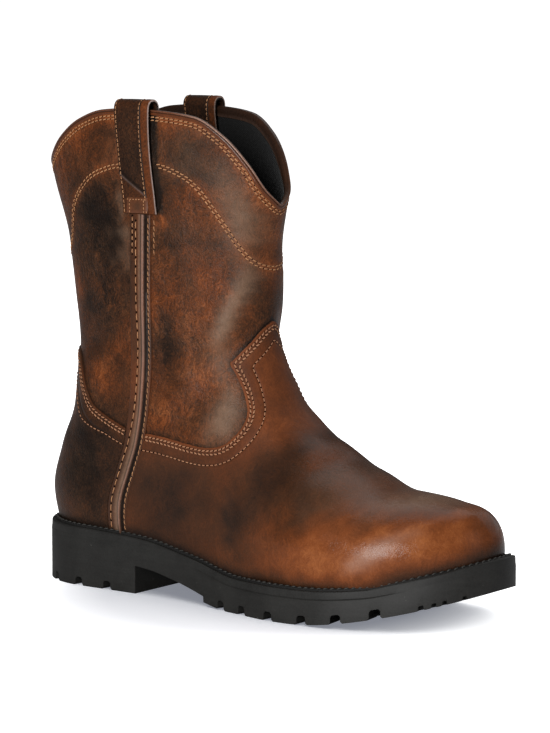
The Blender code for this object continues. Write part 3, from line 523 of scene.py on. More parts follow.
class Stuff:
    """A material with its nodes."""

    def __init__(self, name):
        self.material = bpy.data.materials.new(name)
        self.material.use_nodes = True
        self.tree = self.material.node_tree
        self.spot = self.node("ShaderNodeTexCoord", "Object")

    def node(self, kind, out, inputs=None, **settings):
        made = self.tree.nodes.new(kind)
        for key, value in settings.items():
            setattr(made, key, value)
        for key, value in (inputs or {}).items():
            plug(made.inputs[key], value)
        return Wire(self.tree, made.outputs[out])

    def noise(self, where, scale, detail=4.0, rough=0.55, distort=0.0, out="Fac"):
        return self.node("ShaderNodeTexNoise", out, {
            "Vector": where, "Scale": scale, "Detail": detail, "Roughness": rough, "Distortion": distort})

    def stretched(self, where, across, along):
        return self.node("ShaderNodeMapping", "Vector", {"Vector": where, "Scale": (across, across, along)})

    def hairs(self, where, across, along, width):
        """Thin wandering lines: where a stretched noise passes its middle."""
        return self.noise(self.stretched(where, across, along), 1.0, 3, 0.6, 0.6).bell(0.5, width)

    def ramp(self, value, *stops):
        made = self.tree.nodes.new("ShaderNodeValToRGB")
        band = made.color_ramp
        while len(band.elements) < len(stops):
            band.elements.new(0.5)
        for element, (place, colour) in zip(band.elements, stops):
            element.position = place
            element.color = (*colour, 1.0)
        plug(made.inputs["Fac"], value)
        return Wire(self.tree, made.outputs["Color"])

    def mixed(self, share, a, b):
        return self.node("ShaderNodeMix", 2, {0: share, 6: a, 7: b}, data_type="RGBA")

    def field(self, name):
        return self.node("ShaderNodeAttribute", "Fac", attribute_name=name)

    def bumps(self, *layers):
        """Bumps laid over each other: height, strength and distance of each."""
        normal = None
        for height, strength, distance in layers:
            below = {"Normal": normal} if normal else {}
            normal = self.node("ShaderNodeBump", "Normal", {
                "Height": height, "Strength": strength, "Distance": distance, **below})
        return normal

    def finished(self, **sockets):
        """The material, with the shader's sockets set; a name's underlines stand for spaces."""
        shader = self.tree.nodes["Principled BSDF"]
        for key, value in sockets.items():
            plug(shader.inputs[key.replace("_", " ")], value)
        return self.material


BLACK = (0.0, 0.0, 0.0)
WHITE = (1.0, 1.0, 1.0)
LEATHER_STOPS = (
    (0.00, (0.0110, 0.0058, 0.0040)), (0.20, (0.0280, 0.0130, 0.0076)), (0.40, (0.0640, 0.0228, 0.0096)),
    (0.60, (0.1230, 0.0355, 0.0116)), (0.80, (0.2100, 0.0585, 0.0170)), (1.00, (0.3300, 0.1040, 0.0310)))
OLIVE_STOPS = (
    (0.00, (0.0100, 0.0070, 0.0052)), (0.20, (0.0255, 0.0150, 0.0094)), (0.40, (0.0580, 0.0300, 0.0160)),
    (0.60, (0.1080, 0.0520, 0.0260)), (1.00, (0.2700, 0.1300, 0.0640)))
SHEEN_COLOUR = (0.245, 0.152, 0.100)
HIGHLIGHT_COLOUR = (0.430, 0.265, 0.200)
SCUFF_COLOUR = (0.240, 0.105, 0.046)
CUT_COLOUR = (0.045, 0.020, 0.011)
NICK_COLOUR = (0.085, 0.083, 0.075)
MIDDLE_TONE = 0.368


def leather(name, lift=0.0, rough=0.36, shine=0.10, coat=0.0, seed=0.0, rows=(), veins=1.0, mottle=1.0,
            olive=1.0, highlight_colour=HIGHLIGHT_COLOUR):
    """Oiled, scuffed brown leather: tone patches, mottling, hair lines, pores and sewn grooves."""
    stuff = Stuff(name)
    spot = stuff.node("ShaderNodeMapping", "Vector", {
        "Vector": stuff.spot, "Location": (seed, seed * 0.7, seed * 1.3)})
    drift = stuff.noise(spot, 55, 4, 0.5, 0.0, "Color")
    loose = stuff.node("ShaderNodeVectorMath", "Vector", {0: drift, 1: (0.018, 0.018, 0.018), 2: spot},
                       operation="MULTIPLY_ADD")
    clouds = stuff.noise(loose, 34, 4, 0.60, 0.3)
    patches = stuff.noise(loose, 130, 5, 0.62, 0.4)
    specks = stuff.noise(spot, 620, 4, 0.70, 0.4)
    grain = stuff.noise(stuff.stretched(loose, 1300, 800), 1.0, 3, 0.65, 0.3)
    scratch = stuff.noise(stuff.stretched(loose, 260, 1300), 1.0, 2, 0.5, 1.6)
    hair = stuff.hairs(loose, 260, 60, 0.075) + stuff.hairs(loose, 560, 110, 0.10) * 0.8
    hair = hair * ((clouds - 0.34) * 3.4).clamped()

    broad = stuff.field("tone") * (patches * 0.9 + 0.55) + (MIDDLE_TONE + lift)
    tone = broad + hair * (0.21 * veins)
    for value, amount in ((clouds, 0.12 + 0.10 * mottle), (patches, 0.17 * mottle), (specks, 0.34 * mottle),
                          (grain, 0.95 * mottle)):
        tone = tone + (value - 0.5) * amount
    grooves = []
    for centre, width in rows:
        trough = stuff.field("edge").bell(centre, width)
        grooves = [grooves[0] + trough] if grooves else [trough]
    # Painted shade in the sewn grooves
    for sewn in grooves:
        tone = tone - sewn * 0.07
    hue = stuff.noise(loose, 62, 4, 0.6, 0.5)
    dull = ((0.54 - broad) * 1.5 + (hue - 0.5) * 2.0).clamped()
    colour = stuff.mixed(dull * (0.65 * olive), stuff.ramp(tone, *LEATHER_STOPS), stuff.ramp(tone, *OLIVE_STOPS))
    # Painted sheen from its field, greyish, broken up by the patches and grain
    bloom = (stuff.field("bloom") * (patches + grain)).clamped()
    colour = stuff.mixed(bloom * 0.78, colour, SHEEN_COLOUR)
    scuff = stuff.ramp(scratch, (0.67, BLACK), (0.75, WHITE))
    colour = stuff.mixed((scuff * (clouds * (0.40 * mottle))).clamped(), colour, SCUFF_COLOUR)
    colour = stuff.mixed((stuff.field("cut") * 0.9).clamped(), colour, CUT_COLOUR)
    # Painted highlight from the pale field, in the highlight colour
    colour = stuff.mixed((stuff.field("pale") * (specks + 0.4)).clamped(), colour, highlight_colour)

    gloss = patches * 0.22 + (rough - 0.11) + (specks - 0.5) * 0.26 + stuff.field("dry") * 0.35
    pores = stuff.node("ShaderNodeTexVoronoi", "Distance", {"Vector": spot, "Scale": 1000}, feature="F1")
    swell = stuff.noise(loose, 120, 4, 0.6, 0.8)
    normal = stuff.bumps((pores, 0.26 * mottle, 0.0005), (grain, 0.30 * mottle, 0.0006),
                         (hair, 0.22 * veins, 0.0006), (swell, 0.10 + 0.08 * veins, 0.0016),
                         *((1.0 - sewn, 0.5, 0.0006) for sewn in grooves))
    return stuff.finished(Base_Color=colour, Roughness=gloss, Coat_Weight=coat, Coat_Roughness=0.24,
                          Specular_IOR_Level=shine, Normal=normal)


def rubber(name, base, wear, rough):
    """Moulded black rubber with a dusty, slightly uneven face and a few pale nicks."""
    stuff = Stuff(name)
    dust = stuff.noise(stuff.spot, 60, 5, 0.65, 0.4)
    grit = stuff.noise(stuff.spot, 900, 4, 0.7)
    streak = stuff.noise(stuff.stretched(stuff.spot, 30, 420), 1.0, 4, 0.6, 0.3)
    colour = stuff.ramp(dust * 0.6 + grit * 0.5 + streak * 0.25, (0.45, base), (0.95, wear))
    nicks = stuff.ramp(stuff.noise(stuff.spot, 210, 2, 0.5, 0.8), (0.735, BLACK), (0.765, (0.5, 0.5, 0.5)))
    return stuff.finished(Base_Color=stuff.mixed(nicks, colour, NICK_COLOUR), Roughness=dust * 0.24 + (rough - 0.12),
                          Specular_IOR_Level=0.32, Normal=stuff.bumps((grit, 0.24, 0.0004), (streak, 0.14, 0.0006)))


def fabric(name, dark, light, weave):
    """Black woven lining with a soft nap."""
    stuff = Stuff(name)
    knit, other = (stuff.node("ShaderNodeTexWave", "Fac", {
        "Vector": stuff.spot, "Scale": weave / 3, "Distortion": 1.5, "Detail": 2}, bands_direction=way)
        for way in ("Z", "DIAGONAL"))
    nap = stuff.noise(stuff.spot, 520, 5, 0.75)
    share = knit * other * 0.5 + nap * 0.6
    return stuff.finished(Base_Color=stuff.ramp(share, (0.30, dark), (0.72, light)), Roughness=nap * 0.15 + 0.80,
                          Specular_IOR_Level=0.25, Sheen_Weight=0.12, Sheen_Roughness=0.5,
                          Normal=stuff.bumps((share, 0.6, 0.0008)))


def thread(name, dark, light):
    """Twisted sewing thread."""
    stuff = Stuff(name)
    twist = stuff.noise(stuff.spot, 2600, 3, 0.6)
    share = twist * 0.45 + stuff.noise(stuff.spot, 70, 3, 0.6) * 0.55
    return stuff.finished(Base_Color=stuff.ramp(share, (0.30, dark), (0.68, light)), Roughness=twist * 0.3 + 0.45,
                          Normal=stuff.bumps((twist, 0.3, 0.0003)))


def needle_holes(name):
    """Dark needle holes, their darkness painted shade inside them."""
    stuff = Stuff(name)
    grain = stuff.noise(stuff.spot, 1500, 3, 0.6)
    return stuff.finished(Base_Color=stuff.ramp(grain, (0.3, (0.006, 0.003, 0.0018)), (0.8, (0.016, 0.007, 0.004))),
                          Specular_IOR_Level=0.05, Roughness=grain * 0.2 + 0.7)


# Mesh helpers
def flipped(faces):
    return [tuple(reversed(face)) for face in faces]


def added(name, data):
    """A new object in the scene."""
    thing = bpy.data.objects.new(name, data)
    bpy.context.scene.collection.objects.link(thing)
    return thing


def plain_mesh(name, points, faces):
    """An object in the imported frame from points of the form."""
    mesh = bpy.data.meshes.new(name)
    mesh.from_pydata((np.asarray(points).reshape(-1, 3) - ORIGIN).tolist(), [], [tuple(face) for face in faces])
    return added(name, mesh)


def make(name, points, faces, material, fields=None, angle=50.0):
    """A piece of the boot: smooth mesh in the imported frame, with its fields as attributes."""
    thing = plain_mesh(name, points, faces)
    for key, values in (fields or {}).items():
        spread = thing.data.attributes.new(key, "FLOAT", "POINT")
        spread.data.foreach_set("value", np.ravel(values).astype(np.float32))
    thing.data.materials.append(material)
    thing.data.shade_smooth()
    thing.data.set_sharp_from_angle(angle=math.radians(angle))
    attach(thing, "root")
    return thing


def ring_faces(levels, around, wrap=False, closed=True):
    """Quads between loops stacked one after another."""
    faces = []
    for i in range(levels if wrap else levels - 1):
        a = i * around
        b = (i + 1) % levels * around
        for j in range(around if closed else around - 1):
            k = (j + 1) % around
            faces.append((a + j, a + k, b + k, b + j))
    return faces


def cap_faces(start, around):
    """Strips of quads across a loop whose two halves mirror each other."""
    faces = []
    for j in range(around // 2):
        face = [start + j, start + j + 1, start + around - 1 - j, start + (around - j) % around]
        faces.append(tuple(dict.fromkeys(face)))
    return faces


def triangles(levels, around):
    """Triangles between closed loops stacked one after another."""
    quads = np.array(ring_faces(levels, around))
    return np.vstack([quads[:, [0, 1, 2]], quads[:, [0, 2, 3]]])


def trim(points, tris, keep, fields):
    """Part of a mesh where keep is positive, cut along its zero line; fields go with the points."""
    keep = np.where(np.abs(keep) < 5e-5, np.where(keep < 0, -5e-5, 5e-5), keep)
    inside = keep > 0
    count = inside[tris].sum(1)
    faces = tris[count == 3].tolist()
    born = {}
    pairs = []

    def cross(a, b):
        key = (min(a, b), max(a, b))
        if key not in born:
            born[key] = len(points) + len(pairs)
            pairs.append((a, b, keep[a] / (keep[a] - keep[b])))
        return born[key]

    for tri in tris[(count == 1) | (count == 2)]:
        alone = inside[tri].sum() == 1
        k = int(np.argmax(inside[tri] == alone))
        a, b, c = (int(tri[(k + i) % 3]) for i in range(3))
        p, q = cross(a, b), cross(a, c)
        faces += [(a, p, q)] if alone else [(p, b, c), (p, c, q)]
    a, b = (np.array([pair[i] for pair in pairs], int) for i in (0, 1))
    share = np.array([pair[2] for pair in pairs])
    used, faces = np.unique(np.array(faces), return_inverse=True)
    spread = {}
    for key, values in dict(fields, place=points).items():
        t = share if values.ndim == 1 else share[:, None]
        spread[key] = np.concatenate([values, values[a] * (1 - t) + values[b] * t])[used]
    return spread.pop("place"), faces.reshape(-1, 3), spread


def rim(points, faces, fields, depth, reach=0.0003):
    """Rounded cut edge down from the open border of a trimmed skin."""
    sides = {(tri[i], tri[(i + 1) % 3]): True for tri in faces.tolist() for i in range(3)}
    border = [(a, b) for a, b in sides if (b, a) not in sides]
    after = dict(border)
    before = {b: a for a, b in border}
    ids = [a for a in after if a in before]
    place = {v: i for i, v in enumerate(ids)}
    way = unit(points[[after[v] for v in ids]] - points[[before[v] for v in ids]])
    normal = unit(fields["normal"][ids])
    out = np.cross(way, normal) * reach
    rows = [points[ids] + out * far - normal * drop for far, drop in (
        (0.7, reach * 0.35), (1.0, reach), (1.05, depth))]
    base = len(points)
    size = len(ids)
    more = []
    for a, b in border:
        if a in place and b in place:
            i, j = place[a], place[b]
            more.append((b, a, base + i, base + j))
            for top in (base, base + size):
                more.append((top + j, top + i, top + size + i, top + size + j))
    grown = {key: np.concatenate([values] + [values[ids]] * 3) for key, values in fields.items()}
    grown["cut"] = (np.arange(base + 3 * size) >= base + size).astype(float)
    return np.vstack([points] + rows), faces.tolist() + more, grown


def near(points, line, block=4000):
    """Distance of each point to a dense line in space."""
    result = np.empty(len(points))
    for i in range(0, len(points), block):
        part = points[i:i + block]
        result[i:i + block] = np.sqrt(((part[:, None, :] - line[None, :, :]) ** 2).sum(2).min(1))
    return result


def within(x, z, polygon):
    """Which points of the side view lie inside an outline."""
    inside = np.zeros(x.shape, bool)
    for (x0, z0), (x1, z1) in zip(polygon, np.roll(polygon, -1, 0)):
        if z0 != z1:
            crosses = (z0 > z) != (z1 > z)
            inside ^= crosses & (x < (x1 - x0) * (z - z0) / (z1 - z0) + x0)
    return inside


def dense(rows, step):
    """Points of a panel's edge, rounded through its table, at even steps."""
    length = travelled(np.stack([rows["x"], rows["z"]], 1))
    fine = np.linspace(0, length[-1], int(length[-1] / step) + 2)
    return np.stack([curve(length, rows[key])(fine) for key in ("x", "z")], 1)


def level_lines(points, normals, tris, field, level):
    """Lines on a mesh along which a field has one value, with the outward directions."""
    value = field - level
    high = value > 0
    links = {}
    for tri in tris[(high[tris].sum(1) % 3) != 0].tolist():
        edges = [(tri[i], tri[(i + 1) % 3]) for i in range(3)]
        one, two = ((min(edge), max(edge)) for edge in edges if high[edge[0]] != high[edge[1]])
        links.setdefault(one, []).append(two)
        links.setdefault(two, []).append(one)
    left = dict.fromkeys(links)
    lines = []
    for start in sorted(links, key=lambda key: len(links[key])):
        walk = []
        onward = [start] if start in left else []
        while onward:
            left.pop(onward[0])
            walk.append(onward[0])
            onward = [key for key in links[walk[-1]] if key in left]
        if len(walk) < 6:
            continue
        if walk[0] in links[walk[-1]] and len(links[start]) == 2:
            walk.append(walk[0])
        a, b = np.array(walk).T
        t = (value[a] / (value[a] - value[b]))[:, None]
        lines.append((points[a] * (1 - t) + points[b] * t, unit(normals[a] * (1 - t) + normals[b] * t)))
    return lines


def smooth_line(points, normals, step=0.0008):
    """A line at even steps, with the mesh's small corners taken off."""
    length = travelled(points)
    fine = np.linspace(0, length[-1], max(int(length[-1] / step), 8))
    both = picked(np.hstack([points, normals]), length, fine)
    for _ in range(3):
        both[1:-1] = 0.25 * both[:-2] + 0.5 * both[1:-1] + 0.25 * both[2:]
    return both[:, :3], unit(both[:, 3:])


class Sewing:
    """Stitches and needle holes gathered into two meshes."""

    # Place along a stitch, rise and fullness of its sections
    SECTIONS = ((-1.0, -0.35, 0.50), (-0.62, 0.28, 0.92), (0.0, 0.55, 1.0), (0.62, 0.28, 0.92), (1.0, -0.35, 0.50))
    CORNERS = 6
    HOLE_CORNERS = 7
    HOLE_LIFT = 0.00006

    def __init__(self):
        self.stitches = [], []
        self.holes = [], []

    @staticmethod
    def gather(store, copies, faces):
        """Add copies of one small shape to the points and faces of a store."""
        size = copies.shape[1]
        base = sum(len(part) for part in store[0])
        store[0].append(copies.reshape(-1, 3))
        store[1].extend(tuple(base + size * k + v for v in face) for k in range(len(copies)) for face in faces)

    def row(self, line, normal, pitch, long, wide=0.0006, high=0.0005, slant=0.0, phase=0.0, hole=0.00048):
        """A row of stitches along a line, with needle holes between them where they have a size."""
        line, normal = smooth_line(line, normal)
        length = travelled(line)
        count = int(length[-1] / pitch - phase)
        if count < 1:
            return

        def frames(at):
            up = unit(picked(normal, length, at))
            way = unit(picked(line, length, np.minimum(at + 0.001, length[-1]))
                       - picked(line, length, np.maximum(at - 0.001, 0)))
            return picked(line, length, at)[:, None], up, way, unit(np.cross(up, way))

        centre, up, way, cross = frames((np.arange(count) + 0.5 + phase) * pitch)
        way = np.cross(cross, up)
        c, s = math.cos(math.radians(slant)), math.sin(math.radians(slant))
        axes = np.stack([way * c + cross * s, cross * c - way * s, up], 1)
        spin = np.arange(self.CORNERS) * 2 * math.pi / self.CORNERS
        shape = np.array([(u * long / 2, full * wide / 2 * math.cos(a), high * (rise + 0.45 * math.sin(a) * full))
                          for u, rise, full in self.SECTIONS for a in spin])
        last = len(shape) - self.CORNERS
        faces = ring_faces(len(self.SECTIONS), self.CORNERS)
        faces += [tuple(reversed(range(self.CORNERS))), tuple(range(last, len(shape)))]
        self.gather(self.stitches, centre + shape @ axes, faces)
        if hole:
            spots = (np.arange(count + 1) + phase) * pitch
            centre, up, way, cross = frames(spots[spots < length[-1]])
            ring = np.arange(self.HOLE_CORNERS) * 2 * math.pi / self.HOLE_CORNERS
            disc = np.stack([hole * np.cos(ring), hole * np.sin(ring), np.full(self.HOLE_CORNERS, self.HOLE_LIFT)], 1)
            self.gather(self.holes, centre + disc @ np.stack([way, cross, up], 1), [range(self.HOLE_CORNERS)])

    def finish(self, name, material):
        for word, (points, faces), stuff, angle in (("_stitches", self.stitches, material, 70),
                                                    ("_needle_holes", self.holes, hole_stuff, 50)):
            if faces:
                make(name + word, np.vstack(points), faces, stuff, angle=angle)


# Materials
SEWN = ((0.0027, 0.0017), (0.0099, 0.0008))
upper_leather = leather("shaft leather")
vamp_leather = leather("vamp leather", 0.06, rough=0.25, shine=0.17, seed=0.37, rows=SEWN, veins=0.35, mottle=0.32,
                       olive=0.40)
counter_leather = leather("counter leather", -0.01, rough=0.38, seed=0.71, rows=SEWN, veins=0.5, mottle=0.7)
seam_leather = leather("seam leather", 0.05, rough=0.34, shine=0.20, coat=0.08, seed=0.19, veins=0.2, mottle=0.4,
                       olive=0.2)
strap_leather = leather("strap leather", -0.01, rough=0.40, shine=0.09, seed=0.53, veins=0.4, olive=0.7,
                        highlight_colour=(0.620, 0.480, 0.430))
binding_leather = leather("binding leather", -0.01, rough=0.30, shine=0.22, coat=0.12, seed=0.91, veins=0.1,
                          mottle=0.3, olive=0.2)
sole_rubber = rubber("sole rubber", (0.0087, 0.0083, 0.0075), (0.0270, 0.0262, 0.0240), 0.58)
welt_rubber = rubber("welt", (0.0040, 0.0038, 0.0036), (0.0120, 0.0115, 0.0110), 0.66)
lining_fabric = fabric("black lining", (0.0030, 0.0030, 0.0029), (0.0095, 0.0092, 0.0088), 1500)
insole_fabric = fabric("black insole", (0.006, 0.006, 0.006), (0.017, 0.0165, 0.016), 1100)
golden_thread = thread("golden thread", (0.285, 0.112, 0.042), (0.600, 0.298, 0.130))
russet_thread = thread("russet thread", (0.255, 0.096, 0.042), (0.560, 0.275, 0.140))
black_thread = thread("welt thread", (0.008, 0.0076, 0.007), (0.050, 0.047, 0.040))
hole_stuff = needle_holes("needle holes")

# The folded form
rings = form_rings(RINGS, AROUND)
ring_x, ring_z = rings[..., 0], rings[..., 2]
far = ease(fade(rings[..., 1] - section_axis(bend(ring_x, ring_z)[0]), -0.016, 0.016))
folds = relief(ring_x, ring_z, -1) * (1 - far) + relief(ring_x, ring_z, 1) * far
folded = rings + grid_normals(rings) * folds[..., None]
normals = grid_normals(folded)
grid, grid_up = folded.reshape(-1, 3), normals.reshape(-1, 3)
gx, gz = ring_x.ravel(), ring_z.ravel()
tris = triangles(RINGS, AROUND)


def edge_line(rows):
    """A panel's edge on both sides of the folded form, at even steps."""
    lines = []
    for side, _ in SIDES:
        points, _ = surface(*dense(rows, 0.0001).T, side)
        length = travelled(points)
        lines.append(picked(points, length, np.linspace(0, length[-1], int(length[-1] / 0.0005))))
    return np.vstack(lines)


def panel_field(rows, start, corners, low, high):
    """Distance inside a panel's edge, minus outside it; start and corners close the edge in the side view."""
    inside = within(gx, gz, np.vstack([[(start, rows["z"][0])], dense(rows, 0.0006), corners]))
    field = np.where(inside, FAR, -FAR)
    close = (gz > low) & (gz < high)
    gap = near(grid[close], edge_line(rows))
    field[close] = np.where(inside[close], gap, -gap)
    return field


# Fields over the form: distances from edges, tone with painted shade, and painted sheen
from_seam = gx - seam_x(gz)
vamp_in = panel_field(VAMP, 0.05, [(0.20, 0.164), (0.40, 0.164), (0.40, -0.02), (0.05, -0.02)], 0.050, 0.185)
vamp_in = np.where(from_seam > -0.02, vamp_in, -FAR)
counter_in = panel_field(COUNTER, 0.13, [(-0.05, 0.1405), (-0.05, -0.02), (0.13, -0.02)], 0.055, 0.165)
counter_in = np.where(from_seam < 0.02, counter_in, -FAR)
overlay = np.where(from_seam > 0, vamp_in, counter_in)
deco_over = panel_field(DECO, -0.05, [(0.25, DECO["z"][-1]), (0.25, 0.35), (-0.05, 0.35)], 0.165, 0.275)
collar_gap = np.full(len(grid), FAR)
collar_close = gz > 0.20
collar_gap[collar_close] = near(grid[collar_close], np.vstack(
    [folded[-1] * (1 - t) + np.roll(folded[-1], -1, 0) * t for t in (0, 0.25, 0.5, 0.75)]))
toe_part = fade(gx, 0.252, 0.270)
# Tone: the TONES patches, partly painted shade; lighter under the collar; darker just above the sole, most at the toe
shade = (np.clip(0.50 * blobs(TONES, gx, gz), -0.36, 0.42) + 0.26 * hump(collar_gap, 0.0065)
         - (0.42 + 0.30 * toe_part) * hump(gz - feather(gx), 0.0055 + 0.0045 * toe_part))
# Painted sheen from spots and lines in the side view
bloom = np.clip(blobs(SHEEN_SPOTS, gx, gz) + streaks(STREAKS, gx, gz), 0, 1)


def build_panel(name, keep, lift, depth, material, **fields):
    """A panel with its cut edge, and its skin without the edge for the stitches."""
    fields = {"bloom": bloom, **fields, "normal": grid_up}
    points, faces, fields = trim(grid + grid_up * np.reshape(lift, (-1, 1)), tris, keep, fields)
    skin = points, unit(fields["normal"]), faces, fields
    points, faces, fields = rim(points, faces, fields, depth)
    fields.pop("normal")
    return make(name, points, faces, material, fields), skin


def overlay_lift(inside):
    """Height of an overlay's face over the form, less at its edge."""
    return 0.0006 - 0.0002 * np.exp(-np.clip(inside, 0, None) / 0.0006)


# Shaft, with the shadows beside the strap and under the panels' edges
strap_top = STRAP["z"].argmax()
past_strap = gx - curve(STRAP["z"][:strap_top], (STRAP["x"] + STRAP["half"])[:strap_top])(gz)
strap_shadow = fade(past_strap, 0.0044, 0.0022) * fade(past_strap, -0.006, -0.004) * fade(gz, 0.2205, 0.2245)
panel_shadow = hump(overlay, 0.0015) * (0.35 + 0.65 * fade(gz, 0.130, 0.140))
shaft_tone = shade * (1 - strap_shadow) + 0.16 * hump(deco_over, 0.0038) - 0.50 * panel_shadow - 0.62 * strap_shadow
shaft, shaft_skin = build_panel(
    "shaft_leather", np.maximum(UNDER_PANEL - overlay, UNDER_SEAM - np.abs(from_seam)), -UPPER_SINK, SHAFT_EDGE,
    upper_leather, tone=shaft_tone, edge=np.abs(overlay), collar=collar_gap, deco=deco_over)

# Vamp and counter
vamp_tone = (shade + 0.12 * hump(vamp_in, 0.005) + 0.16 * hump(vamp_in, 0.0016)
             + 0.06 * hump(vamp_in - 0.010, 0.006))
# Pale field: a painted highlight along the toe's side; the painted sheen is kept to the vamp's front
vamp, vamp_skin = build_panel(
    "vamp_leather", np.minimum(vamp_in, from_seam - SEAM_FRONT - GAP), overlay_lift(vamp_in), PANEL_EDGE,
    vamp_leather, tone=vamp_tone, edge=vamp_in, pale=streaks(TOE_HIGHLIGHT, gx, gz), dry=fade(gx, 0.200, 0.170),
    bloom=bloom * fade(gx, 0.17, 0.20))
counter, counter_skin = build_panel(
    "counter_leather", np.minimum(counter_in, -from_seam - SEAM_REAR - GAP), overlay_lift(counter_in), PANEL_EDGE,
    counter_leather, tone=shade + 0.12 * hump(counter_in, 0.005), edge=counter_in,
    row=counter_in - 0.004 * fade(gx, 0.062, 0.040))

# Lining inside the shaft and foot
inner = form_rings(LINING_RINGS, LINING_AROUND)
inner_up = grid_normals(inner)
inner_side = np.where(np.arange(LINING_AROUND) <= LINING_AROUND // 2, -1.0, 1.0)
inner_folds = relief(inner[..., 0], inner[..., 2], inner_side) * 0.6
inner = inner + inner_up * (inner_folds - UPPER_SINK - WALL)[..., None]
lining = make("lining", np.vstack([*inner, inner[-1] + inner_up[-1] * 0.0010]),
              flipped(ring_faces(LINING_RINGS + 1, LINING_AROUND)), lining_fabric)
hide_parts("upper")
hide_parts("upper")
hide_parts("vamp")
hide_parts("counter")

# Footbed: crowned between the two sides of the lining
foot_edge = rings[0, ::2, :2]
foot_edge = foot_edge - (UPPER_SINK + WALL + 0.0005) * plan_normals(foot_edge)
half = len(foot_edge) // 2
lateral = foot_edge[:half + 1, None]
medial = np.vstack([foot_edge[:1], foot_edge[:half - 1:-1]])[:, None]
place = np.linspace(-1, 1, 15)
plan = lateral + (medial - lateral) * (place[:, None] + 1) / 2
height = feather(plan[..., 0]) + 0.0040 + 0.0012 * (1 - place ** 2) - 0.0006 * place ** 8
insole = make("footbed", np.dstack([plan, height]), flipped(ring_faces(half + 1, len(place), closed=False)),
              insole_fabric)
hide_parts("insole")


def turned(faces, side):
    """Faces made for the outer side, for either side."""
    return faces if side < 0 else flipped(faces)


# Side seams: flat strip with a bead, from the sole to the strap's foot
sewing = Sewing()
for side, word in SIDES:
    foot = float(feather(seam_x(0.035))) + GAP
    place = STRIP["place"]
    z = np.linspace(foot, SEAM_TOP, SEAM_STATIONS)[:, None]
    x = seam_x(z) + place
    base, up = surface(x, np.maximum(z, feather(x) + GAP), side, -0.0004)
    # Tone: the section's table with its painted shade and highlight, the form's tone patches, darker at the strip's
    # foot. Painted sheen: slight all over and strong on a thin band behind the bead; pale field: a painted highlight
    # along the bead
    tone = (np.interp(place, SEAM_TONE["place"], SEAM_TONE["tone"])
            + np.clip(0.5 * blobs(TONES, x, z), -0.3, 0.3) - 0.3 * hump(z - foot, 0.004))
    painted_light = 0.03 + 0.80 * hump(place + 0.0030, 0.0008 + 0.0010 * fade(z, 0.11, 0.09))
    shine = 0.85 * hump(place + 0.0004, 0.0006) * fade(z, foot, foot + 0.008)
    strip = make("side_seam_" + word + "_strip", base + up * STRIP["height"][:, None],
                 turned(ring_faces(len(z), len(place), closed=False), side), seam_leather,
                 {"tone": tone, "bloom": painted_light, "pale": shine}, angle=60)
    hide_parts("side_seam_" + word)
    z = np.linspace(foot + 0.003, SEAM_TOP - 0.0005, 260)
    sewing.row(*surface(seam_x(z) + by(SEAM_ROW, "z", "place")(z), z, side, 0.00060), **SEAM_STITCH)
    sewing.row(*surface(seam_x(z) + 0.0031, z, side, 0.00045), **BEAD_STITCH)
    z = np.linspace(0.1985, SEAM_TOP - 0.0008, 60)
    sewing.row(*surface(seam_x(z) - 0.0080, z, side, 0.00055), **SEAM_TOP_STITCH)
    sewing.row(*surface(seam_x(z) + 0.0064, z, side, -UPPER_SINK), **BEAD_STITCH)

# Pull straps: a band over the collar, its front edge turned as a lighter band from the share BAND on
BAND = 0.56
across_strap = np.concatenate([[-1.0, -0.99, -0.97], np.linspace(-0.94, BAND - 0.03, 30), [BAND, BAND + 0.03],
                               np.linspace(0.68, 0.92, 5), [0.95, 0.975, 0.99, 1.0]])
strap_length = travelled(np.stack([STRAP["out"], STRAP["z"]], 1))
strap_at = np.linspace(0, strap_length[-1], STRAP_STATIONS)
strap_out, strap_z, strap_x, strap_half = (
    curve(strap_length, STRAP[key])(strap_at) for key in ("out", "z", "x", "half"))
strap_way = unit(np.stack([np.gradient(strap_out, strap_at), np.gradient(strap_z, strap_at)], 1))
strap_lean = np.stack([strap_way[:, 1], -strap_way[:, 0]], 1)


def strap_wall(x, z, side):
    """Middle of the shaft's wall, that the strap's table is measured from."""
    return np.abs(side_y(x, z, side)) - UPPER_SINK - WALL / 2


def strap_points(side, shares, lift):
    """Places on a strap: shares across it, lift off its middle along its lean."""
    x = strap_x[:, None] + strap_half[:, None] * shares
    wall = strap_wall(x, np.minimum(strap_z, COLLAR_TOP)[:, None], side)
    y = side * (wall + strap_out[:, None] + lift * strap_lean[:, :1])
    return np.stack([x, y, strap_z[:, None] + lift * strap_lean[:, 1:] + 0 * x], -1)


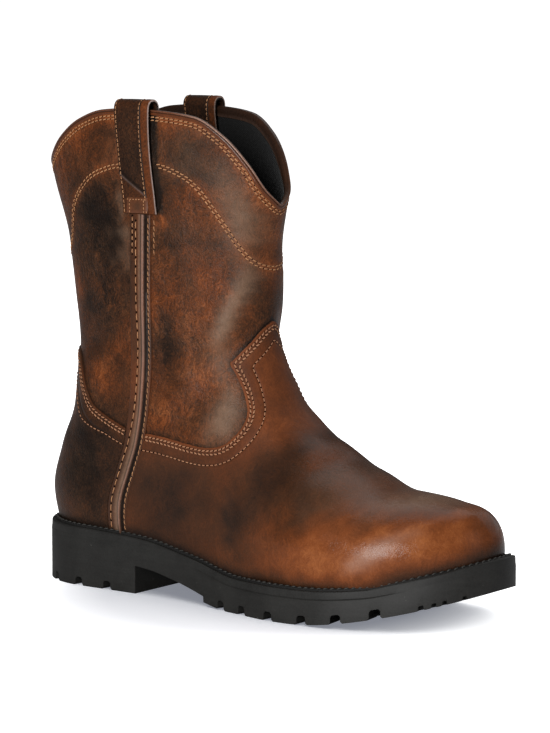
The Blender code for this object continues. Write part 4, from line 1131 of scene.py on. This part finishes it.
strap_edge = 1 - 0.28 * fade(np.abs(across_strap), 0.96, 1.0) ** 2
strap_crown = (STRAP_THICK / 2 * strap_edge + 0.00025 * (1 - across_strap ** 2)
               - 0.00045 * hump(across_strap - BAND, 0.03) + 0.0002 * (across_strap > BAND) * strap_edge)
for side, word in SIDES:
    shares = np.pad(across_strap, 1, mode="edge")
    over = np.pad(strap_crown, 1, constant_values=0.10 * STRAP_THICK)
    below = np.pad(-STRAP_THICK / 2 * strap_edge, 1, constant_values=0.04 * STRAP_THICK)
    loop = np.concatenate([strap_points(side, shares, over), strap_points(side, shares, below)[:, ::-1]], 1)
    stations, count = loop.shape[:2]
    cap = [(i, i + 1, count - 2 - i, count - 1 - i) for i in range(count // 2 - 1)]
    last = (stations - 1) * count
    faces = ring_faces(stations, count) + flipped(cap) + [tuple(last + i for i in face) for face in cap]
    place = np.concatenate([shares, shares[::-1]])
    top = np.arange(count) < count // 2
    cut_edge = np.abs(place) > 0.985
    height = loop[..., 2]
    slant = height - (0.2435 - 0.0105 * (place + 0.85) / 1.3)
    outside = top * (place < BAND) * (np.arange(stations) < stations // 2)[:, None]
    # Tone: darker on the far strap as painted shade; painted shade in the turn of the band and on the cut edges
    # underneath; lighter at the loop's top and below the diagonal fold, with painted shade just above the fold
    tone = np.where(top, np.where(place > BAND, 0.16, -0.17), -0.20) - (0.10 if side > 0 else 0.0)
    tone = tone - 0.16 * hump(place - BAND, 0.03) * top - 0.30 * cut_edge * ~top
    tone = (tone + 0.12 * hump(height - 0.2845, 0.004) + 0.17 * (slant < 0) * outside
            - 0.20 * hump(slant - 0.0022, 0.0014) * outside)
    # Painted sheen on the face's cut edges; pale field: painted highlights along the cut edges, brighter on the outer
    # strap, and along the diagonal fold
    painted_light = 0.4 * cut_edge * top + 0 * height
    shine = (0.95 if side < 0 else 0.35) * (np.abs(place) > 0.995) * top + 0.16 * hump(slant, 0.0005) * outside
    strap = make("pull_strap_" + word + "_band", loop, turned(faces, side), strap_leather,
                 {"tone": tone, "bloom": painted_light, "pale": shine}, angle=60)
    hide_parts("pull_strap_" + word)
    up = np.stack([0 * strap_lean[:, 0], side * strap_lean[:, 0], strap_lean[:, 1]], 1)
    for share in (-0.88, 0.49):
        lift = np.interp(share, across_strap, strap_crown)
        sewing.row(strap_points(side, np.array([share]), lift)[:, 0], up, **STRAP_STITCH)

    # Patch that holds the strap's foot on the seam
    x, z = np.meshgrid(np.linspace(*PATCH_X, 13), np.linspace(*PATCH_Z, 9))
    rim_gap = np.min([x - x.min(), x.max() - x, z - z.min(), z.max() - z], 0)
    out = np.interp(z, STRAP["z"][:6], STRAP["out"][:6]) + STRAP_THICK / 2 + 0.0002
    thick = 0.0005 * (1 - np.exp(-rim_gap / 0.0005))
    patch = np.stack([x, side * (strap_wall(x, z, side) + out + thick), z], -1)
    # Darker in the middle, and a little painted sheen all over
    tone = 0.16 - 0.22 * hump(np.hypot(x - 0.0882, z - 0.2262), 0.003)
    make("strap_foot_patch_" + word, patch, turned(ring_faces(*x.shape, closed=False), side), seam_leather,
         {"tone": tone, "bloom": np.full(x.shape, 0.1)})
    for line in (patch[7], patch[:8, 2], patch[:8, 10]):
        sewing.row(line, np.tile([0.0, side, 0.0], (len(line), 1)), **PATCH_STITCH)

# Binding folded over the collar's edge
collar = folded[-1] - normals[-1] * (UPPER_SINK + WALL / 2)
collar_way = unit(np.roll(collar, -1, 0) - np.roll(collar, 1, 0))
collar_up = unit(np.cross(normals[-1], collar_way))
tape = np.stack([collar + normals[-1] * out + collar_up * up for out, up in zip(TAPE["out"], TAPE["up"])])
# Pale field of the binding: a painted highlight, stronger on its outer rows along the collar's front slope, most on
# the outer side
slope = fade(collar[:, 0], 0.108, 0.124) * fade(collar[:, 0], 0.164, 0.152) * np.where(collar[:, 1] < 0, 1.0, 0.3)
tape_pale = TAPE["pale"][:, None] * np.where(TAPE["out"][:, None] > 0, 1 + 8 * slope, 1.0)
binding = make("topline_binding_tape", tape, flipped(ring_faces(len(tape), AROUND)), binding_leather,
               {"tone": np.repeat(TAPE["tone"], AROUND), "pale": tape_pale}, angle=75)
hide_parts("topline_binding")


# Sole
def seated(inset, rise):
    """Loop inside the sole's outline at a height over the feather line."""
    plan = outline(SOLE_POINTS, inset)
    return np.column_stack([plan, feather(plan[:, 0]) + rise])


def side_prism(name, points, half_wide=0.09):
    """Outline in the side view pushed through across the boot."""
    points = np.asarray(points)
    after = np.roll(points, -1, 0)
    if np.sum(points[:, 0] * after[:, 1] - points[:, 1] * after[:, 0]) > 0:
        points = points[::-1]
    count = len(points)
    close = np.stack([points[:, 0], np.full(count, -half_wide), points[:, 1]], 1)
    faces = ring_faces(2, count) + [tuple(reversed(range(count))), tuple(range(count, 2 * count))]
    return plain_mesh(name, np.vstack([close, close * (1, -1, 1)]), faces)


def blocks(name, pieces):
    """Several separate prisms in one cutter, each from a near and a far outline of equal count."""
    points = []
    faces = []
    for near_end, far_end in pieces:
        base = len(points)
        count = len(near_end)
        points += [*near_end, *far_end]
        faces += [tuple(base + i for i in range(count)), tuple(base + count + i for i in reversed(range(count)))]
        faces += [(base + i, base + count + i, base + count + (i + 1) % count, base + (i + 1) % count)
                  for i in range(count)]
    return plain_mesh(name, points, faces)


def box_piece(x0, x1, y0, y1, head):
    """Upright box from below the floor to a height."""
    plan = ((x0, y0), (x1, y0), (x1, y1), (x0, y1))
    return [(x, y, BELOW_FLOOR) for x, y in plan], [(x, y, head) for x, y in plan]


def notch_piece(spot, out, width, height, reach):
    """Notch in the sole's edge: round head, flared rear wall and eased lug corners, cut inward from the edge."""
    way = np.array([-out[1], out[0]])
    way = way if way[0] > 0 else -way
    corner = min(0.0011, 0.3 * width)
    head = min(0.0014, 0.4 * width)
    wall = [(corner, BELOW_FLOOR), (corner, 0.0), (0.0, corner), (0.0, height - head),
            (-head * 0.5, height - 0.3 * head), (-head, height)]
    shape = [(-1, *spots) for spots in wall] + [(1, *spots) for spots in reversed(wall)]
    ends = []
    for depth, flare in ((reach, 0.0), (-0.006, 0.0020)):
        loop = []
        for side, more, rise in shape:
            along = side * (width / 2 + more) - (flare if side < 0 else 0.0)
            x, y = spot - depth * out + way * along
            loop.append((x, y, BELOW_FLOOR if rise < 0 else float(under(x)) + rise))
        ends.append(loop)
    return ends if way[0] * out[1] - way[1] * out[0] < 0 else [end[::-1] for end in ends]


def half_outline(points, side):
    """Lateral or medial half of an outline, sorted along the boot and kept clear of its ends."""
    middle = len(points) // 2
    part = points[:middle + 1] if side < 0 else points[middle:][::-1]
    inside = part[(part[:, 0] > 0.05) & (part[:, 0] < 0.285)]
    return inside[np.argsort(inside[:, 0])]


def arch_and_spring():
    """Cutters under the arch and under the rising toe."""
    arch = [(HEEL_LENGTH, BELOW_FLOOR), *zip(ARCH["x"], ARCH["z"]), (ARCH["x"][-1], BELOW_FLOOR)]
    run = np.linspace(SPRING_START + 0.004, SOLE_LENGTH + 0.006, 24)
    toe = [(SPRING_START, BELOW_FLOOR), (SPRING_START, -0.0002), *zip(run, under(run)), (run[-1], BELOW_FLOOR)]
    return [side_prism("arch cutter", arch), side_prism("toe spring cutter", toe)]


def notches():
    """Cutter for the notches in the edge, the heel's groove and the cross grooves."""
    fine = outline(FINE_POINTS)
    fine_normal = plan_normals(fine)
    pieces = []
    for part in (slice(0, FINE_POINTS // 2 + 1), slice(FINE_POINTS // 2 + 1, FINE_POINTS)):
        for place, width, height, reach in zip(*NOTCH.values()):
            k = np.argmin(np.abs(fine[part, 0] - place))
            pieces.append(notch_piece(fine[part][k], fine_normal[part][k], width * 0.80, height, reach))
    start, end, middle, half_wide, head = GROOVE
    pieces.append(box_piece(start, end, middle - half_wide, middle + half_wide, head))
    clear = fine - (CHANNEL_INSET + 0.003) * fine_normal
    for place, width, height in zip(*CROSS.values()):
        ends = [curve(*half_outline(clear, side).T)(place) for side, _ in SIDES]
        pieces.append(box_piece(place - width / 2, place + width / 2, *ends, float(under(place)) + height))
    return blocks("notch cutter", pieces)


def channel():
    """Cutter for the channel that runs round the forefoot's tread."""
    ahead = outline(SOLE_POINTS)[:, 0] > 0.150
    outer = outline(SOLE_POINTS, CHANNEL_INSET)[ahead]
    deep = outline(SOLE_POINTS, CHANNEL_INSET + CHANNEL_WIDTH)[ahead]
    count = len(outer)
    foot = np.full(count, BELOW_FLOOR)
    rows = [np.column_stack([outer, foot]), np.column_stack([outer, under(outer[:, 0]) + CHANNEL_DEPTH]),
            np.column_stack([deep, under(deep[:, 0]) + CHANNEL_DEPTH]), np.column_stack([deep, foot])]
    faces = flipped(ring_faces(count, 4)) + [(0, 1, 2, 3), tuple(reversed(range(4 * count - 4, 4 * count)))]
    return plain_mesh("channel cutter", np.stack(rows, 1), faces)


def build_outsole():
    """Lugged sole unit: a wall with a fine ledge, cut from below, its edges softened."""
    plan = outline(SOLE_POINTS)
    top = feather(plan[:, 0]) + rim_rise(plan[:, 0])
    ledge = ledge_depth(plan[:, 0])
    wall = [(0.0, 0 * top), (0.0, top - 0.0052), (0.0001, top - 0.0050), (ledge, top - 0.0044),
            (ledge + 0.0001, top - 0.0012), (ledge + 0.0003, top - 0.0006), (0.0010, top - 0.0001), (0.0014, top),
            (0.0022, top), (0.0025, top - 0.0003)]
    normal = plan_normals(plan)
    loops = [np.column_stack([plan - np.reshape(inset, (-1, 1)) * normal, z]) for inset, z in wall]
    loops += [seated(0.0027, -0.0018), seated(0.0103, -0.0018), seated(0.0106, -GAP)]
    last = (len(loops) - 1) * SOLE_POINTS
    faces = ring_faces(len(loops), SOLE_POINTS) + flipped(cap_faces(0, SOLE_POINTS)) + cap_faces(last, SOLE_POINTS)
    raw = plain_mesh("outsole_rubber", np.vstack(loops), faces)
    cutters = [*arch_and_spring(), notches(), channel()]
    for thing in (raw, *cutters):
        thing.data.validate()
    for tool in cutters:
        step = raw.modifiers.new(tool.name, "BOOLEAN")
        step.operation = "DIFFERENCE"
        step.solver = "EXACT"
        step.object = tool
    done = bpy.data.meshes.new_from_object(raw.evaluated_get(bpy.context.evaluated_depsgraph_get()))
    for thing in (raw, *cutters):
        bpy.data.objects.remove(thing)
    sole = added("outsole_rubber", done)
    done.materials.clear()
    done.materials.append(sole_rubber)
    done.shade_smooth()
    done.set_sharp_from_angle(angle=math.radians(32))
    soften = sole.modifiers.new("Soft edges", "BEVEL")
    soften.width = 0.0005
    soften.segments = 2
    soften.limit_method = "ANGLE"
    soften.angle_limit = math.radians(40)
    soften.use_clamp_overlap = True
    soften.harden_normals = True
    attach(sole, "root")
    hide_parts("outsole")


build_outsole()
welt_loops = []
for inset, rise in zip(*WELT.values()):
    loop = seated(inset, rise)
    loop[:, 2] += (rise > 0) * rim_rise(loop[:, 0])
    welt_loops.append(loop)
welt = make("welt_strip", np.vstack(welt_loops), ring_faces(len(welt_loops), SOLE_POINTS, True), welt_rubber)
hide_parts("welt")

# Sewing of the panels: a double row at the edge and a finer row inside
panel_sewing = Sewing()
for (points, ups, faces, fields), edge_rows, inside, level in (
        (vamp_skin, ((0.0017, 15, 0.0), (0.0037, -15, 0.5)), "edge", 0.0099),
        (counter_skin, ((0.0018, 10, 0.0), (0.0038, -10, 0.5)), "row", 0.0097)):
    for edge_level, slant, phase in edge_rows:
        for line, up in level_lines(points, ups, faces, fields["edge"], edge_level):
            panel_sewing.row(line, up, slant=slant, phase=phase, **EDGE_STITCH)
    for line, up in level_lines(points, ups, faces, fields[inside], level):
        panel_sewing.row(line, up, **INSIDE_STITCH)
panel_sewing.finish("panel", russet_thread)

# Sewing of the shaft: along the collar and in the decorative line, which passes under the straps
points, ups, faces, fields = shaft_skin
for level, phase in ((0.0020, 0.0), (0.0038, 0.35)):
    for line, up in level_lines(points, ups, faces, fields["collar"], level):
        sewing.row(line, up, phase=phase, **COLLAR_STITCH)
for level, phase in ((-0.00095, 0.0), (0.00095, 0.35)):
    for line, up in level_lines(points, ups, faces, fields["deco"], level):
        under_strap = (np.abs(line[:, 0] - 0.0852) < 0.0118) & (line[:, 2] > 0.2215)
        for run in np.split(np.arange(len(line)), np.flatnonzero(np.diff(under_strap.astype(int))) + 1):
            if len(run) > 6 and not under_strap[run[0]]:
                sewing.row(line[run], up[run], phase=phase, **DECO_STITCH)
sewing.finish("upper", golden_thread)

# Sewing of the welt
welt_sewing = Sewing()
plan = outline(FINE_POINTS, 0.0033)
line = np.column_stack([plan, feather(plan[:, 0]) + rim_rise(plan[:, 0]) + 0.0012])
tilt = unit(np.column_stack([plan_normals(plan) * 0.6, np.full(len(plan), 0.8)]))
welt_sewing.row(np.vstack([line, line[:1]]), np.vstack([tilt, tilt[:1]]), **WELT_STITCH)
welt_sewing.finish("welt", black_thread)

# Camera, fitted to the photo
TARGET = np.array([0.155, 0.0, 0.140]) - ORIGIN
AZIMUTH = 37.1
PITCH = 7.1
DISTANCE = 1.88
FRAME = (550, 733)
FOCAL_PX = 3272
CENTRE_PX = (270.2, 357.6)
SENSOR = 36.0


def face_boot(thing, azimuth, elevation, distance):
    """Put a thing on a sphere round the boot, facing it; the angles are degrees."""
    a, e = math.radians(azimuth), math.radians(elevation)
    thing.location = TARGET + distance * np.array(
        [math.sin(a) * math.cos(e), -math.cos(a) * math.cos(e), math.sin(e)])
    thing.rotation_euler = (math.pi / 2 - e, 0.0, a)


camera = added("camera", bpy.data.cameras.new("camera"))
face_boot(camera, AZIMUTH, PITCH, DISTANCE)
camera.data.sensor_width = SENSOR
camera.data.lens = FOCAL_PX * SENSOR / max(FRAME)
camera.data.shift_x = (FRAME[0] / 2 - CENTRE_PX[0]) / max(FRAME)
camera.data.shift_y = (CENTRE_PX[1] - FRAME[1] / 2) / max(FRAME)
camera.data.clip_end = 200
bpy.context.scene.camera = camera

# Floor: glowing white for the camera, the glow falling off near the boot as a painted shadow over the soft cast one
floor_mesh = bpy.data.meshes.new("floor")
floor_mesh.from_pydata([(-40, -40, 0), (40, -40, 0), (40, 40, 0), (-40, 40, 0)], [], [(0, 1, 2, 3)])
floor = added("floor", floor_mesh)
stuff = Stuff("white floor")
seen = stuff.node("ShaderNodeLightPath", "Is Camera Ray")
dull = stuff.ramp(stuff.noise(stuff.spot, 3, 3), (0.3, (0.48, 0.48, 0.49)), (0.7, (0.50, 0.50, 0.51)))
away = stuff.node("ShaderNodeVectorMath", "Value", {0: stuff.spot}, operation="LENGTH")
# Glow seen by the camera: low and bluish near the boot, a painted shadow, and white further off
painted_light = stuff.ramp(away * 0.5, (0.0475, (0.222, 0.233, 0.268)), (0.0575, (0.36, 0.37, 0.40)),
                  (0.0625, (0.49, 0.50, 0.53)), (0.0700, (0.78, 0.79, 0.81)), (0.0850, WHITE))
floor_mesh.materials.append(stuff.finished(
    Base_Color=stuff.mixed(seen, dull, (0.94, 0.94, 0.94)), Roughness=0.9, Specular_IOR_Level=0.0,
    Emission_Color=painted_light, Emission_Strength=seen))


# Light
def softbox(name, azimuth, elevation, distance, size, power):
    """Rectangular light on a sphere round the boot, facing it."""
    lamp = bpy.data.lights.new(name, "AREA")
    lamp.shape = "RECTANGLE"
    lamp.size, lamp.size_y = size
    lamp.energy = power
    thing = added(name, lamp)
    face_boot(thing, azimuth, elevation, distance)
    return thing


key = softbox("key", 15, 13, 1.8, (0.54, 1.10), 28)
softbox("top", 200, 66, 1.6, (1.4, 1.2), 7)
softbox("right", 100, 12, 2.0, (0.8, 1.2), 2.0)
overhead = softbox("floor light", 165, 80, 1.5, (4.0, 4.0), 60)
inner_fill = softbox("inner side", 165, 20, 2.0, (1.4, 1.4), 4)
only_floor = bpy.data.collections.new("floor alone")
only_floor.objects.link(floor)
overhead.light_linking.receiver_collection = only_floor
but_floor = bpy.data.collections.new("all but the floor")
but_floor.objects.link(floor)
but_floor.collection_objects[0].light_linking.link_state = "EXCLUDE"
key.light_linking.receiver_collection = but_floor
inner_fill.light_linking.receiver_collection = but_floor
world = bpy.data.worlds.new("studio")
world.use_nodes = True
world.node_tree.nodes["Background"].inputs["Color"].default_value = (1.0, 1.0, 1.0, 1.0)
world.node_tree.nodes["Background"].inputs["Strength"].default_value = 0.10
bpy.context.scene.world = world
bpy.context.scene.view_settings.view_transform = "Standard"
